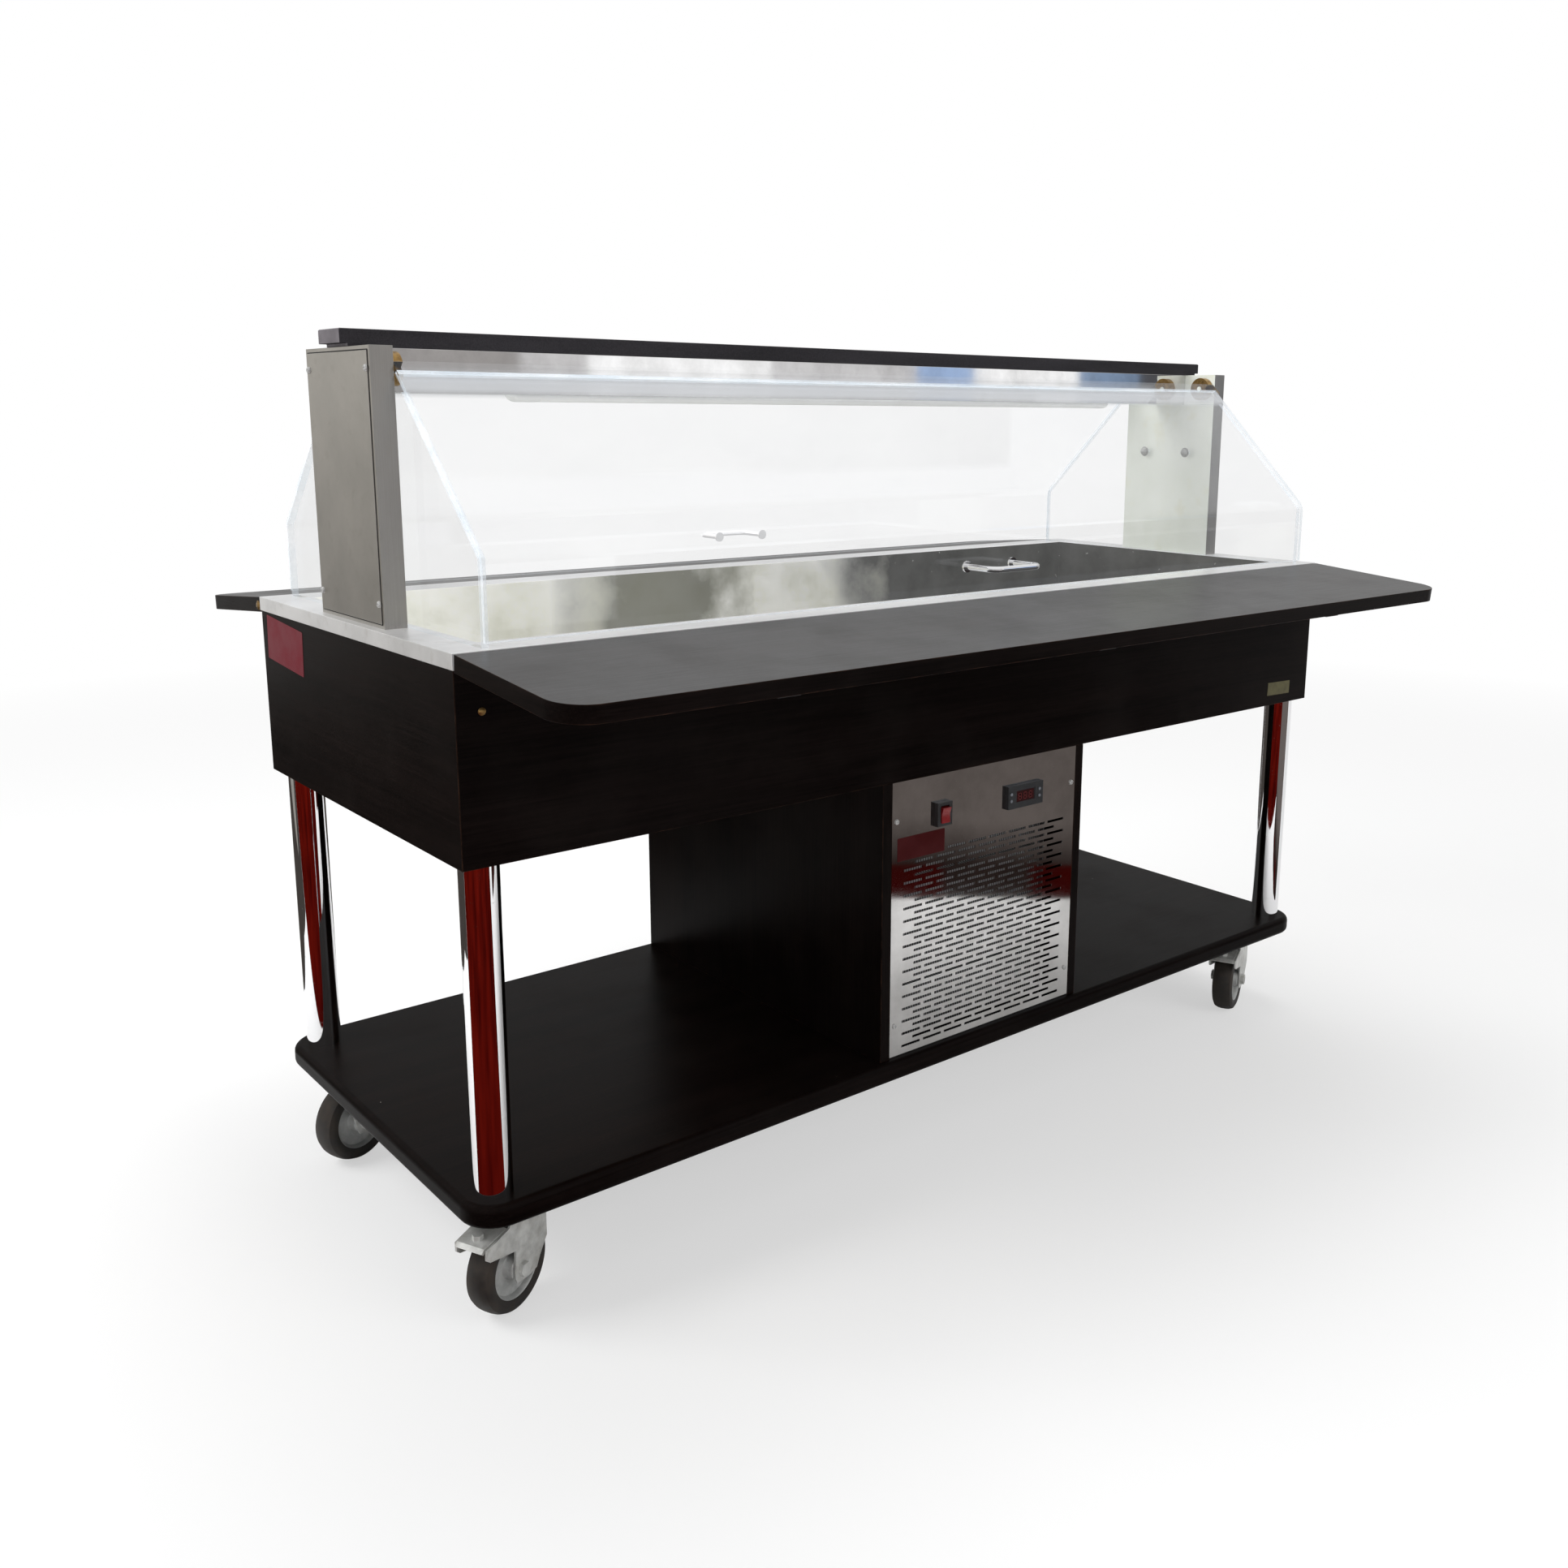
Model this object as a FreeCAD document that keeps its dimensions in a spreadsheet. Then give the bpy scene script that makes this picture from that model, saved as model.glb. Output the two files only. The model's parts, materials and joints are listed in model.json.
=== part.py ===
import FreeCAD, Part
import math
import os
import Sketcher

# Mobile refrigerated salad bar.  Millimetres, +Z up, +X along the length, the customer side at -Y.
# The origin is on the floor, midway along and midway across the object.

doc = FreeCAD.newDocument("mobile_salad_bar")
sheet = doc.addObject("Spreadsheet::Sheet", "dims")
bodies = []


class Size:
    """A length or angle together with the spreadsheet expression that drives it."""

    def __init__(self, value, text):
        self.value = float(value)
        self.text = text

    def __add__(self, other):
        other = size(other)
        return Size(self.value + other.value, f"({self.text} + {other.text})")

    def __sub__(self, other):
        other = size(other)
        return Size(self.value - other.value, f"({self.text} - {other.text})")

    def __mul__(self, other):
        other = size(other)
        return Size(self.value * other.value, f"({self.text} * {other.text})")

    def __truediv__(self, other):
        other = size(other)
        return Size(self.value / other.value, f"({self.text} / {other.text})")

    def __radd__(self, other):
        return size(other) + self

    def __rsub__(self, other):
        return size(other) - self

    def __rmul__(self, other):
        return size(other) * self

    def __neg__(self):
        return Size(-self.value, f"(0 - {self.text})")


def size(thing):
    return thing if isinstance(thing, Size) else Size(thing, f"{float(thing):.6g}")


def sine(angle):
    return Size(math.sin(math.radians(angle.value)), f"sin({angle.text} * 1 deg)")


def cosine(angle):
    return Size(math.cos(math.radians(angle.value)), f"cos({angle.text} * 1 deg)")


rows_used = 0


def dim(alias, value):
    """One driving dimension: a plain number in the sheet, and the Size that reads it."""
    global rows_used
    rows_used += 1
    sheet.set(f"A{rows_used}", alias)
    sheet.set(f"B{rows_used}", f"{value:g}")
    sheet.setAlias(f"B{rows_used}", alias)
    return Size(value, f"dims.{alias}")


# ---------------------------------------------------------------- driving dimensions
# cold box and worktop
worktop = dim("worktop_height", 878)
box_length = dim("box_length", 1726)
box_depth = dim("box_depth", 645)
apron_height = dim("apron_height", 260)
apron_thick = dim("apron_thick", 19)
box_floor_thick = dim("box_floor_thick", 18)
gauge = dim("sheet_gauge", 1.5)
lip_height = dim("lip_height", 20)
well_length = box_length - dim("rim_length", 58) * 2
well_width = box_depth - dim("rim_depth", 57.5) * 2
well_depth = dim("well_depth", 170)
drain_bore = dim("drain_bore", 32)
drain_x = well_length / 2 - dim("drain_from_well_end", 165)
# base board, posts and machine bay
base_length = box_length + dim("base_overhang_length", 9) * 2
base_depth = box_depth + dim("base_overhang_depth", 12.5) * 2
base_thick = dim("base_thick", 32)
base_top = dim("base_top_height", 184)
base_corner = dim("base_corner_radius", 50)
base_round = dim("base_edge_radius", 10)
post_dia = dim("post_diameter", 50)
post_wall = dim("post_wall", 2)
post_in_x = dim("post_inset_length", 36)
post_in_y = dim("post_inset_depth", 34)
bay_width = dim("bay_width", 400)
bay_shift = dim("bay_shift", 8)
bay_board = dim("bay_board_thick", 18)
# grille
slot_length = dim("slot_length", 38)
slot_height = dim("slot_height", 4)
slot_pitch = dim("slot_pitch", 44.7)
row_pitch = dim("row_pitch", 10)
row_first = dim("first_row_height", 13.4)
flange = dim("grille_flange", 14)
grille_play = dim("grille_play", 0.3)
# castors
swivel_in_x = dim("swivel_inset_length", 96)
swivel_in_y = dim("swivel_inset_depth", 80)
turn_front = dim("front_castor_turn", 24)
turn_rear = dim("rear_castor_turn", 18)
trail = dim("castor_trail", 30)
wheel_dia = dim("wheel_diameter", 125)
wheel_width = dim("wheel_width", 38)
axle_dia = dim("axle_diameter", 10)
kingpin_dia = dim("kingpin_diameter", 14)
fork_plate = dim("fork_plate_thick", 3)
brake_pin = dim("brake_pin_diameter", 4)
fit = dim("running_fit", 0.05)
# columns, beam, board and lamp
column_thick = dim("column_thick", 30)
column_depth = dim("column_depth", 210)
column_height = dim("column_height", 347)
column_in = dim("column_inset", 11.5)
beam_depth = dim("beam_depth", 70)
beam_height = dim("beam_height", 56)
board_length = box_length - dim("board_end_gap", 3) * 2
board_depth = dim("board_depth", 70)
board_thick = dim("board_thick", 18)
packer_thick = dim("packer_thick", 4)
lamp_length = dim("lamp_length", 1230)
lamp_width = dim("lamp_width", 40)
# clear panels
pane_thick = dim("end_panel_thick", 10)
pane_reach = dim("end_panel_reach", 311)
pane_corner = dim("end_panel_corner_height", 104)
slope = dim("guard_slope", 45)
guard_thick = dim("guard_thick", 6)
guard_gap = dim("guard_gap", 2)
guard_end_gap = dim("guard_end_gap", 1.5)
guard_lift = dim("guard_bottom_gap", 6)
guard_bend = dim("guard_bend_radius", 22)
hub_y = dim("guard_pivot_out", 80)
hub_z = dim("guard_pivot_height", 320)
hub_dia = dim("guard_hub_diameter", 42)
hub_thick = dim("guard_hub_thick", 14)
stud_dia = dim("guard_stud_diameter", 10)
handle_span = dim("handle_span", 96)
handle_reach = dim("handle_reach", 60)
handle_rod = dim("handle_rod_diameter", 9)
handle_height = dim("handle_height", 48)
# tray shelves
shelf_width = dim("shelf_width", 254)
shelf_thick = dim("shelf_thick", 22)
shelf_corner = dim("shelf_corner_radius", 45)
shelf_droop = dim("shelf_droop", 5)
shelf_pin_out = dim("shelf_pivot_out", 14)
shelf_pin_drop = dim("shelf_pivot_drop", 36)
shelf_pin_dia = dim("shelf_pin_diameter", 8)
arm_width = dim("shelf_arm_width", 34)
arm_spread = box_length / 2 - dim("shelf_arm_inset", 303)
# controls
switch_x = bay_shift - dim("switch_offset", 100)
thermo_x = bay_shift + dim("thermostat_offset", 77)
control_height = dim("control_height", 372)
key_dia = dim("key_diameter", 5)
rocker_tilt = dim("rocker_tilt", 6)
# cooling unit
fan_dia = dim("fan_diameter", 200)
fan_height = dim("fan_axis_height", 175)
shell_dia = dim("compressor_diameter", 150)

# ---------------------------------------------------------------- derived lengths
half_x = box_length / 2
half_y = box_depth / 2
apron_bottom = worktop - apron_height
apron_in_x = half_x - apron_thick
apron_in_y = half_y - apron_thick
sheet_under = worktop - gauge
castor_height = base_top - base_thick
brake_pin_z = castor_height - 30
wheel_radius = wheel_dia / 2
bay_left = bay_shift - bay_width / 2
bay_right = bay_shift + bay_width / 2
column_in_face = half_x - column_in - column_thick
guard_length = (column_in_face - guard_end_gap) * 2
column_top = worktop + column_height
beam_bottom = column_top - beam_height
corner_z = worktop + pane_corner
# the guard's inner face lies this far up from the end panel's sloping edge
face_rise = guard_gap / cosine(slope)
bend_rise = (1 - sine(slope)) / cosine(slope)


# ---------------------------------------------------------------- drawing helpers
def new_body(name):
    body = doc.addObject("PartDesign::Body", name)
    body.Label = name
    bodies.append(body)
    return body


def place(body, x=0, y=0, z=0, turn=None, axis=(0, 0, 1)):
    """Put a body at an expression-driven position, turned about one axis."""
    x, y, z = size(x), size(y), size(z)
    turn = size(0 if turn is None else turn)
    spin = FreeCAD.Rotation(FreeCAD.Vector(*axis), turn.value if turn.value else 1)
    body.Placement = FreeCAD.Placement(FreeCAD.Vector(x.value, y.value, z.value), spin)
    for letter, amount in (("x", x), ("y", y), ("z", z)):
        body.setExpression(f"Placement.Base.{letter}", amount.text)
    body.setExpression("Placement.Rotation.Angle", turn.text)


def rect(x0, y0, x1, y1):
    return [(x0, y0), (x1, y0), (x1, y1), (x0, y1)]


def box_about(x, y, wide, tall):
    return rect(x - wide / 2, y - tall / 2, x + wide / 2, y + tall / 2)


def disc(x, y, radius):
    return ("disc", x, y, radius)


def hexagon(x, y, across):
    reach = across / math.sqrt(3)
    turns = [math.radians(60 * k) for k in range(6)]
    return [(x + reach * round(math.cos(t), 6), y + reach * round(math.sin(t), 6)) for t in turns]


def tie(sketch, kind, amount, *where):
    amount = size(amount)
    index = sketch.addConstraint(Sketcher.Constraint(kind, *where, amount.value))
    sketch.setExpression(f"Constraints[{index}]", amount.text)


def draw_polygon(sketch, points):
    first = sketch.GeometryCount
    count = len(points)
    spots = [FreeCAD.Vector(size(x).value, size(y).value, 0) for x, y in points]
    for k in range(count):
        sketch.addGeometry(Part.LineSegment(spots[k], spots[(k + 1) % count]), False)
    for k in range(count):
        sketch.addConstraint(Sketcher.Constraint("Coincident", first + k, 2, first + (k + 1) % count, 1))
    for k, (x, y) in enumerate(points):
        tie(sketch, "DistanceX", x, -1, 1, first + k, 1)
        tie(sketch, "DistanceY", y, -1, 1, first + k, 1)


def draw_disc(sketch, x, y, radius):
    centre = FreeCAD.Vector(size(x).value, size(y).value, 0)
    circle = Part.Circle(centre, FreeCAD.Vector(0, 0, 1), size(radius).value)
    index = sketch.addGeometry(circle, False)
    tie(sketch, "DistanceX", x, -1, 1, index, 3)
    tie(sketch, "DistanceY", y, -1, 1, index, 3)
    tie(sketch, "Radius", radius, index)


def new_sketch(body, role, start, outlines):
    """A sketch parallel to one of the body's origin planes, at a distance along its axis."""
    sketch = body.newObject("Sketcher::SketchObject", f"{body.Name}_outline")
    plane = next(f for f in body.Origin.OriginFeatures if f.Role == role)
    sketch.AttachmentSupport = (plane, [""])
    sketch.MapMode = "FlatFace"
    along = -size(start) if role == "XZ_Plane" else size(start)
    lift = FreeCAD.Vector(0, 0, along.value)
    sketch.AttachmentOffset = FreeCAD.Placement(lift, FreeCAD.Rotation())
    sketch.setExpression("AttachmentOffset.Base.z", along.text)
    for outline in outlines:
        if outline[0] == "disc":
            draw_disc(sketch, *outline[1:])
        else:
            draw_polygon(sketch, outline)
    sketch.Visibility = False
    return sketch


def extrude(body, kind, role, start, length, outlines):
    sketch = new_sketch(body, role, start, outlines)
    feature = body.newObject(f"PartDesign::{kind}", f"{body.Name}_{kind.lower()}")
    feature.Profile = sketch
    feature.Length = size(length).value
    feature.setExpression("Length", size(length).text)
    against = role == "XZ_Plane"
    feature.Reversed = against if kind == "Pad" else not against
    return feature


def pad(body, role, start, length, *outlines):
    """Add material from start towards the positive axis."""
    return extrude(body, "Pad", role, start, length, outlines)


def cut(body, role, start, length, *outlines):
    """Remove material from start towards the positive axis."""
    return extrude(body, "Pocket", role, start, length, outlines)


def revolve(body, points, name="turned"):
    """Turn a half profile, given as (radius, distance along Y), about the body's Y axis."""
    sketch = new_sketch(body, "XY_Plane", 0, [points])
    feature = body.newObject("PartDesign::Revolution", f"{body.Name}_{name}")
    feature.Profile = sketch
    feature.ReferenceAxis = (sketch, ["V_Axis"])
    feature.Angle = 360
    return feature


def repeat(body, feature, axis, span, count):
    pattern = body.newObject("PartDesign::LinearPattern", f"{body.Name}_rows")
    pattern.Originals = [feature]
    pattern.Direction = (feature.Profile[0], [axis])
    pattern.Length = size(span).value
    pattern.setExpression("Length", size(span).text)
    pattern.Occurrences = count
    body.Tip = pattern
    return pattern


def soften(body, kind, amount, wanted):
    """Fillet or chamfer the edges of the body's tip that the test picks out."""
    doc.recompute()
    tip = body.Tip
    names = [f"Edge{k + 1}" for k, edge in enumerate(tip.Shape.Edges) if wanted(edge)]
    feature = body.newObject(f"PartDesign::{kind}", f"{body.Name}_{kind.lower()}")
    feature.Base = (tip, names)
    prop = "Radius" if kind == "Fillet" else "Size"
    setattr(feature, prop, size(amount).value)
    feature.setExpression(prop, size(amount).text)
    return feature


def spans(edge):
    box = edge.BoundBox
    return box.XLength, box.YLength, box.ZLength


def upright(edge):
    x, y, z = spans(edge)
    return z > 1 and x < 0.01 and y < 0.01


# ---------------------------------------------------------------- chassis
def base_shelf():
    body = new_body("base_shelf")
    place(body, z=castor_height)
    pad(body, "XY_Plane", 0, base_thick, box_about(0, 0, base_length, base_depth))
    soften(body, "Fillet", base_corner, upright)
    soften(body, "Fillet", base_round, lambda edge: spans(edge)[2] < 0.01)


def post(name, side, end):
    body = new_body(name)
    place(body, side * (half_x - post_in_x), end * (half_y - post_in_y), base_top)
    radius = post_dia / 2
    pad(body, "XY_Plane", 0, apron_bottom - base_top, disc(0, 0, radius), disc(0, 0, radius - post_wall))


def castor_turn(end):
    return turn_front if end < 0 else turn_rear


def castor_origin(side, end):
    return side * (base_length / 2 - swivel_in_x), end * (base_depth / 2 - swivel_in_y)


def castor_plate(name, side, end):
    body = new_body(name)
    x, y = castor_origin(side, end)
    place(body, x, y, castor_height)
    pad(body, "XY_Plane", -4, 4, box_about(0, 0, 110, 86))
    holes = [disc(sx * 42, sy * 30, 4.5) for sx in (-1, 1) for sy in (-1, 1)]
    cut(body, "XY_Plane", -5, 6, *holes)
    pad(body, "XY_Plane", -14, 10.5, disc(0, 0, 31))
    pad(body, "XY_Plane", -24, 10.5, disc(0, 0, kingpin_dia / 2))
    pad(body, "XY_Plane", -27, 6.6, hexagon(0, 0, 22))


def fork_outline(crown_top, braked):
    """Side plate of the fork; a braked fork carries its plate back over the tyre as an arm."""
    low = wheel_radius - 16
    leg = [(22, crown_top), (22, wheel_radius + 20), (6, wheel_radius - 2), (-1, low + 1)]
    leg += [(-18, low - 2), (-trail - 10, low), (-trail - 13, low + 6)]
    if not braked:
        return leg + [(-trail - 26, wheel_radius + 38), (-trail - 20, crown_top)]
    leg += [(-trail - 11, wheel_radius + 30), (-trail - 60, wheel_radius + 41)]
    leg += [(-trail - 66, wheel_radius + 46), (-trail - 66, wheel_radius + 59)]
    return leg + [(-trail - 22, crown_top - 8), (-trail - 15, crown_top)]


def castor_fork(name, side, end, braked):
    body = new_body(name)
    x, y = castor_origin(side, end)
    place(body, x, y, 0, castor_turn(end))
    crown = castor_height - 20
    leg_gap = wheel_width / 2 + 3.5
    pad(body, "XY_Plane", crown, 5.6, disc(0, 0, 34))
    cut(body, "XY_Plane", crown - 1, 7.6, disc(0, 0, kingpin_dia / 2 + fit))
    outline = fork_outline(crown + 5.6, braked)
    for start in (leg_gap, -leg_gap - fork_plate):
        pad(body, "XZ_Plane", start, fork_plate, outline)
    outer = leg_gap + fork_plate
    pad(body, "XZ_Plane", -outer, outer * 2, disc(-trail, wheel_radius, axle_dia / 2))
    pad(body, "XZ_Plane", outer, 6, hexagon(-trail, wheel_radius, 17))
    pad(body, "XZ_Plane", -outer - 7, 7, hexagon(-trail, wheel_radius, 17))
    if braked:
        pad(body, "XZ_Plane", -outer, outer * 2, disc(-trail - 36, brake_pin_z, brake_pin / 2))


def castor_wheel(name, side, end):
    body = new_body(name)
    x, y = castor_origin(side, end)
    turn = castor_turn(end)
    place(body, x - trail * cosine(turn), y - trail * sine(turn), wheel_radius, turn)
    edge = wheel_width / 2
    bore = axle_dia / 2 + fit
    half = [(bore, edge + 2.5), (bore + 11, edge + 2.5), (wheel_radius - 20, 8)]
    half += [(wheel_radius - 19, edge - 2), (wheel_radius - 6, edge), (wheel_radius, edge - 8)]
    other = [(r, -d) for r, d in reversed(half)]
    revolve(body, half + other)


def castor_brake(name, side, end):
    """Foot lever between the fork's arms, with its shoe above the tyre and an adjusting bolt."""
    body = new_body(name)
    x, y = castor_origin(side, end)
    place(body, x, y, 0, castor_turn(end))
    inside = wheel_width / 2 + 2.5
    lever = [(14, 3.5), (14, 7.5), (0, 6.5), (-30, 2), (-35, -3), (-32, -5.5)]
    lever += [(-26, -2.5), (-18, -3.5), (-13, -13), (-8, -10), (-4, -5.5), (6, -1)]
    lever = [(dx - trail - 36, brake_pin_z + dz) for dx, dz in lever]
    pad(body, "XZ_Plane", -inside, inside * 2, lever)
    pad(body, "XY_Plane", brake_pin_z, 10, hexagon(-trail - 52, 0, 13))
    cut(body, "XZ_Plane", -inside - 1, inside * 2 + 2, disc(-trail - 36, brake_pin_z, brake_pin / 2 + fit))


def castors():
    for end_name, end in (("front", -1), ("rear", 1)):
        for side_name, side in (("left", -1), ("right", 1)):
            tail = f"{end_name}_{side_name}"
            post(f"post_{tail}", side, end)
            castor_plate(f"castor_plate_{tail}", side, end)
            castor_fork(f"castor_fork_{tail}", side, end, end < 0)
            castor_wheel(f"castor_wheel_{tail}", side, end)
            if end < 0:
                castor_brake(f"castor_brake_{tail}", side, end)


# ---------------------------------------------------------------- machine bay
def bay_sides():
    for name, inner in (("bay_side_left", bay_left - bay_board), ("bay_side_right", bay_right)):
        body = new_body(name)
        place(body, inner, 0, base_top)
        pad(body, "XY_Plane", 0, apron_bottom - base_top, rect(0, -half_y, bay_board, half_y))


def bay_rear():
    body = new_body("bay_rear_panel")
    place(body, bay_shift, half_y - bay_board, base_top)
    tall = apron_bottom - base_top
    pad(body, "XZ_Plane", 0, bay_board, rect(-bay_width / 2, 0, bay_width / 2, tall))
    vent = rect(-bay_width / 2 + 50, 110, bay_width / 2 - 50, 122)
    row = cut(body, "XZ_Plane", -1, bay_board + 2, vent)
    repeat(body, row, "V_Axis", 240, 9)
    cut(body, "XZ_Plane", -1, bay_board + 2, disc(-bay_width / 2 + 45, 50, 8.2))


def slot_row(count, base):
    shift = slot_pitch * ((count - 1) / 2)
    cells = []
    for k in range(count):
        left = slot_pitch * k - shift - slot_length / 2
        cells.append(rect(left, base, left + slot_length, base + slot_height))
    return cells


def grille_panel():
    body = new_body("grille_panel")
    place(body, bay_shift, -half_y, base_top)
    half = bay_width / 2 - grille_play
    low = grille_play
    tall = apron_bottom - base_top - grille_play
    pad(body, "XZ_Plane", 0, flange, rect(-half, low, half, tall))
    cut(body, "XZ_Plane", gauge, flange, rect(gauge - half, gauge + low, half - gauge, tall - gauge))
    cut(body, "XZ_Plane", -1, gauge + 2, box_about(switch_x - bay_shift, control_height, 22, 30))
    cut(body, "XZ_Plane", -1, gauge + 2, box_about(thermo_x - bay_shift, control_height, 71, 29))
    screws = [disc(sx * (half - 9), z, 2.2) for sx in (-1, 1) for z in (52, control_height + 2)]
    cut(body, "XZ_Plane", -1, gauge + 2, *screws)
    long_row = cut(body, "XZ_Plane", -1, gauge + 2, *slot_row(8, row_first))
    repeat(body, long_row, "V_Axis", row_pitch * 30, 16)
    short_row = cut(body, "XZ_Plane", -1, gauge + 2, *slot_row(7, row_first + row_pitch))
    repeat(body, short_row, "V_Axis", row_pitch * 28, 15)


def switch_housing():
    """Bezel and snap-in body with an open well and a cross pin for the rocker."""
    body = new_body("switch_housing")
    place(body, switch_x, -half_y - 1, base_top + control_height)
    pad(body, "XZ_Plane", -7, 8, box_about(0, 0, 30, 37))
    pad(body, "XZ_Plane", 0.5, 25, box_about(0, 0, 21.4, 29.6))
    cut(body, "XZ_Plane", -8, 26, box_about(0, 0, 17.4, 26.4))
    pad(body, "YZ_Plane", -9, 18, disc(0, 0, 1.5))


def switch_rocker():
    """Rocker with a hollow front, standing with its upper end out."""
    body = new_body("switch_rocker")
    place(body, switch_x, -half_y - 1, base_top + control_height, rocker_tilt, (1, 0, 0))
    profile = [(-11, 12.2), (-8.6, 0), (-11, -12.2), (-4, -11.8), (5, -5), (5, 5), (-4, 11.8)]
    pad(body, "YZ_Plane", -8.4, 16.8, profile)
    cut(body, "YZ_Plane", -9, 18, disc(0, 0, 1.5 + fit))


KEYS = (("key_set", -33, 6), ("key_down", -33, -5), ("key_up", 31, 6), ("key_power", 31, -5))


def thermostat():
    body = new_body("thermostat_body")
    place(body, thermo_x, -half_y, base_top + control_height)
    pad(body, "XZ_Plane", -7, 7, box_about(0, 0, 79, 37))
    pad(body, "XZ_Plane", -0.5, 58, box_about(0, 0, 70.6, 28.6))
    cut(body, "XZ_Plane", -8, 2, box_about(0, 1, 42, 19))
    wells = [disc(x, z, key_dia / 2 + fit) for name, x, z in KEYS]
    cut(body, "XZ_Plane", -8, 6, *wells)


def thermostat_keys():
    for name, x, z in KEYS:
        body = new_body(name)
        place(body, thermo_x + x, -half_y - 8, base_top + control_height + z)
        pad(body, "XZ_Plane", 0, 4.8, disc(0, 0, key_dia / 2))


# ---------------------------------------------------------------- cooling unit
def compressor():
    body = new_body("compressor")
    place(body, bay_shift + 40, 90, base_top + 12, 90, (1, 0, 0))
    radius = shell_dia / 2
    profile = [(0, 0), (radius - 22, 0), (radius, 20), (radius, 97), (radius + 5, 97)]
    profile += [(radius + 5, 105), (radius, 105), (radius, 150), (radius - 10, 176), (0, 190)]
    revolve(body, profile)
    pad(body, "XZ_Plane", -8, 8.6, box_about(0, 0, shell_dia + 50, 90))
    pad(body, "YZ_Plane", radius - 6, 46, rect(50, -35, 125, 35))
    feet = [disc(sx * (radius + 14), sy * 34, 11) for sx in (-1, 1) for sy in (-1, 1)]
    pad(body, "XZ_Plane", -12, 5, *feet)


def condenser():
    body = new_body("condenser")
    place(body, bay_shift, -half_y + 40, base_top)
    wide = bay_width - 70
    tall = fan_height * 2 - 20
    pad(body, "XZ_Plane", 0, 52, rect(-wide / 2, 10, wide / 2, tall))
    for k in range(5):
        groove = rect(-wide / 2 + 8, 34 + 58 * k, wide / 2 - 8, 52 + 58 * k)
        cut(body, "XZ_Plane", -1, 6, groove)
    for x in (-wide / 2 - 2, wide / 2):
        pad(body, "YZ_Plane", x, 2, rect(-6, 0, 58, tall + 10))
    pad(body, "XZ_Plane", 51, 40, rect(-wide / 2, 10, wide / 2, tall))
    cut(body, "XZ_Plane", 52.5, 50, disc(0, fan_height - 5, fan_dia / 2 + 4))
    pad(body, "XZ_Plane", 84, 7, box_about(0, fan_height - 5, fan_dia + 20, 24))
    pad(body, "XZ_Plane", 84, 50, disc(0, fan_height - 5, 38))
    pad(body, "XZ_Plane", 62, 24, disc(0, fan_height - 5, 4))


def fan_rotor():
    body = new_body("fan_rotor")
    place(body, bay_shift, -half_y + 40, base_top + fan_height - 5)
    hub = pad(body, "XZ_Plane", 60, 20, disc(0, 0, 26))
    section = [(62, -17), (64, -18), (78, 17), (76, 18)]
    blade = pad(body, "YZ_Plane", 20, fan_dia / 2 - 22, section)
    ring = body.newObject("PartDesign::PolarPattern", "fan_blades")
    ring.Originals = [blade]
    ring.Axis = (hub.Profile[0], ["N_Axis"])
    ring.Angle = 360
    ring.Occurrences = 5
    body.Tip = ring
    cut(body, "XZ_Plane", 59, 22, disc(0, 0, 4 + fit))


def evaporator():
    """Flattened cooling pipe bonded in runs under the well's floor."""
    body = new_body("evaporator_coil")
    place(body, 0, 0, worktop - well_depth - gauge - 10)
    reach = well_length / 2 - 60
    half = well_width / 2 - 40
    runs = 6
    pitch = half * 2 / (runs - 1)
    for k in range(runs):
        y = pitch * k - half
        pad(body, "XY_Plane", 0, 10, rect(-reach - 5, y - 5, reach + 5, y + 5))
        if k:
            side = reach if k % 2 == 1 else -reach
            pad(body, "XY_Plane", 0, 10, rect(side - 5, y - pitch, side + 5, y))


def cable_gland():
    body = new_body("cable_gland")
    place(body, bay_left + 45, half_y, base_top + 50)
    pad(body, "XZ_Plane", 0, 6, hexagon(0, 0, 24))
    pad(body, "XZ_Plane", 5, 11, disc(0, 0, 9))
    pad(body, "XZ_Plane", -bay_board - 6, bay_board + 7, disc(0, 0, 8))
    cut(body, "XZ_Plane", -60, 90, disc(0, 0, 4))


# ---------------------------------------------------------------- cold box
def box_floor():
    body = new_body("box_floor")
    place(body, z=apron_bottom)
    pad(body, "XY_Plane", 0, box_floor_thick, rect(-apron_in_x, -apron_in_y, apron_in_x, apron_in_y))
    cut(body, "XY_Plane", -1, box_floor_thick + 2, disc(drain_x, 0, drain_bore / 2 + 4))
    cut(body, "XY_Plane", -1, box_floor_thick + 2, disc(bay_shift, 120, 14))


def apron():
    body = new_body("apron")
    place(body, z=apron_bottom)
    tall = apron_height - gauge
    outer = rect(-half_x, -half_y, half_x, half_y)
    inner = rect(-apron_in_x, -apron_in_y, apron_in_x, apron_in_y)
    pad(body, "XY_Plane", 0, tall, outer, inner)


def insulation():
    body = new_body("insulation")
    low = apron_bottom + box_floor_thick
    place(body, z=low)
    tall = sheet_under - low
    pad(body, "XY_Plane", 0, tall, rect(-apron_in_x, -apron_in_y, apron_in_x, apron_in_y))
    shell = well_length / 2 + gauge
    side = well_width / 2 + gauge
    well_under = worktop - well_depth - gauge - low
    cut(body, "XY_Plane", well_under, well_depth + 5, rect(-shell, -side, shell, side))
    recess = box_about(0, 0, well_length - 100, well_width - 60)
    cut(body, "XY_Plane", well_under - 12, 20, recess)
    cut(body, "XY_Plane", -1, well_under, disc(drain_x, 0, drain_bore / 2 + 4))
    cut(body, "XY_Plane", -1, well_under, disc(bay_shift, 120, 14))


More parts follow.
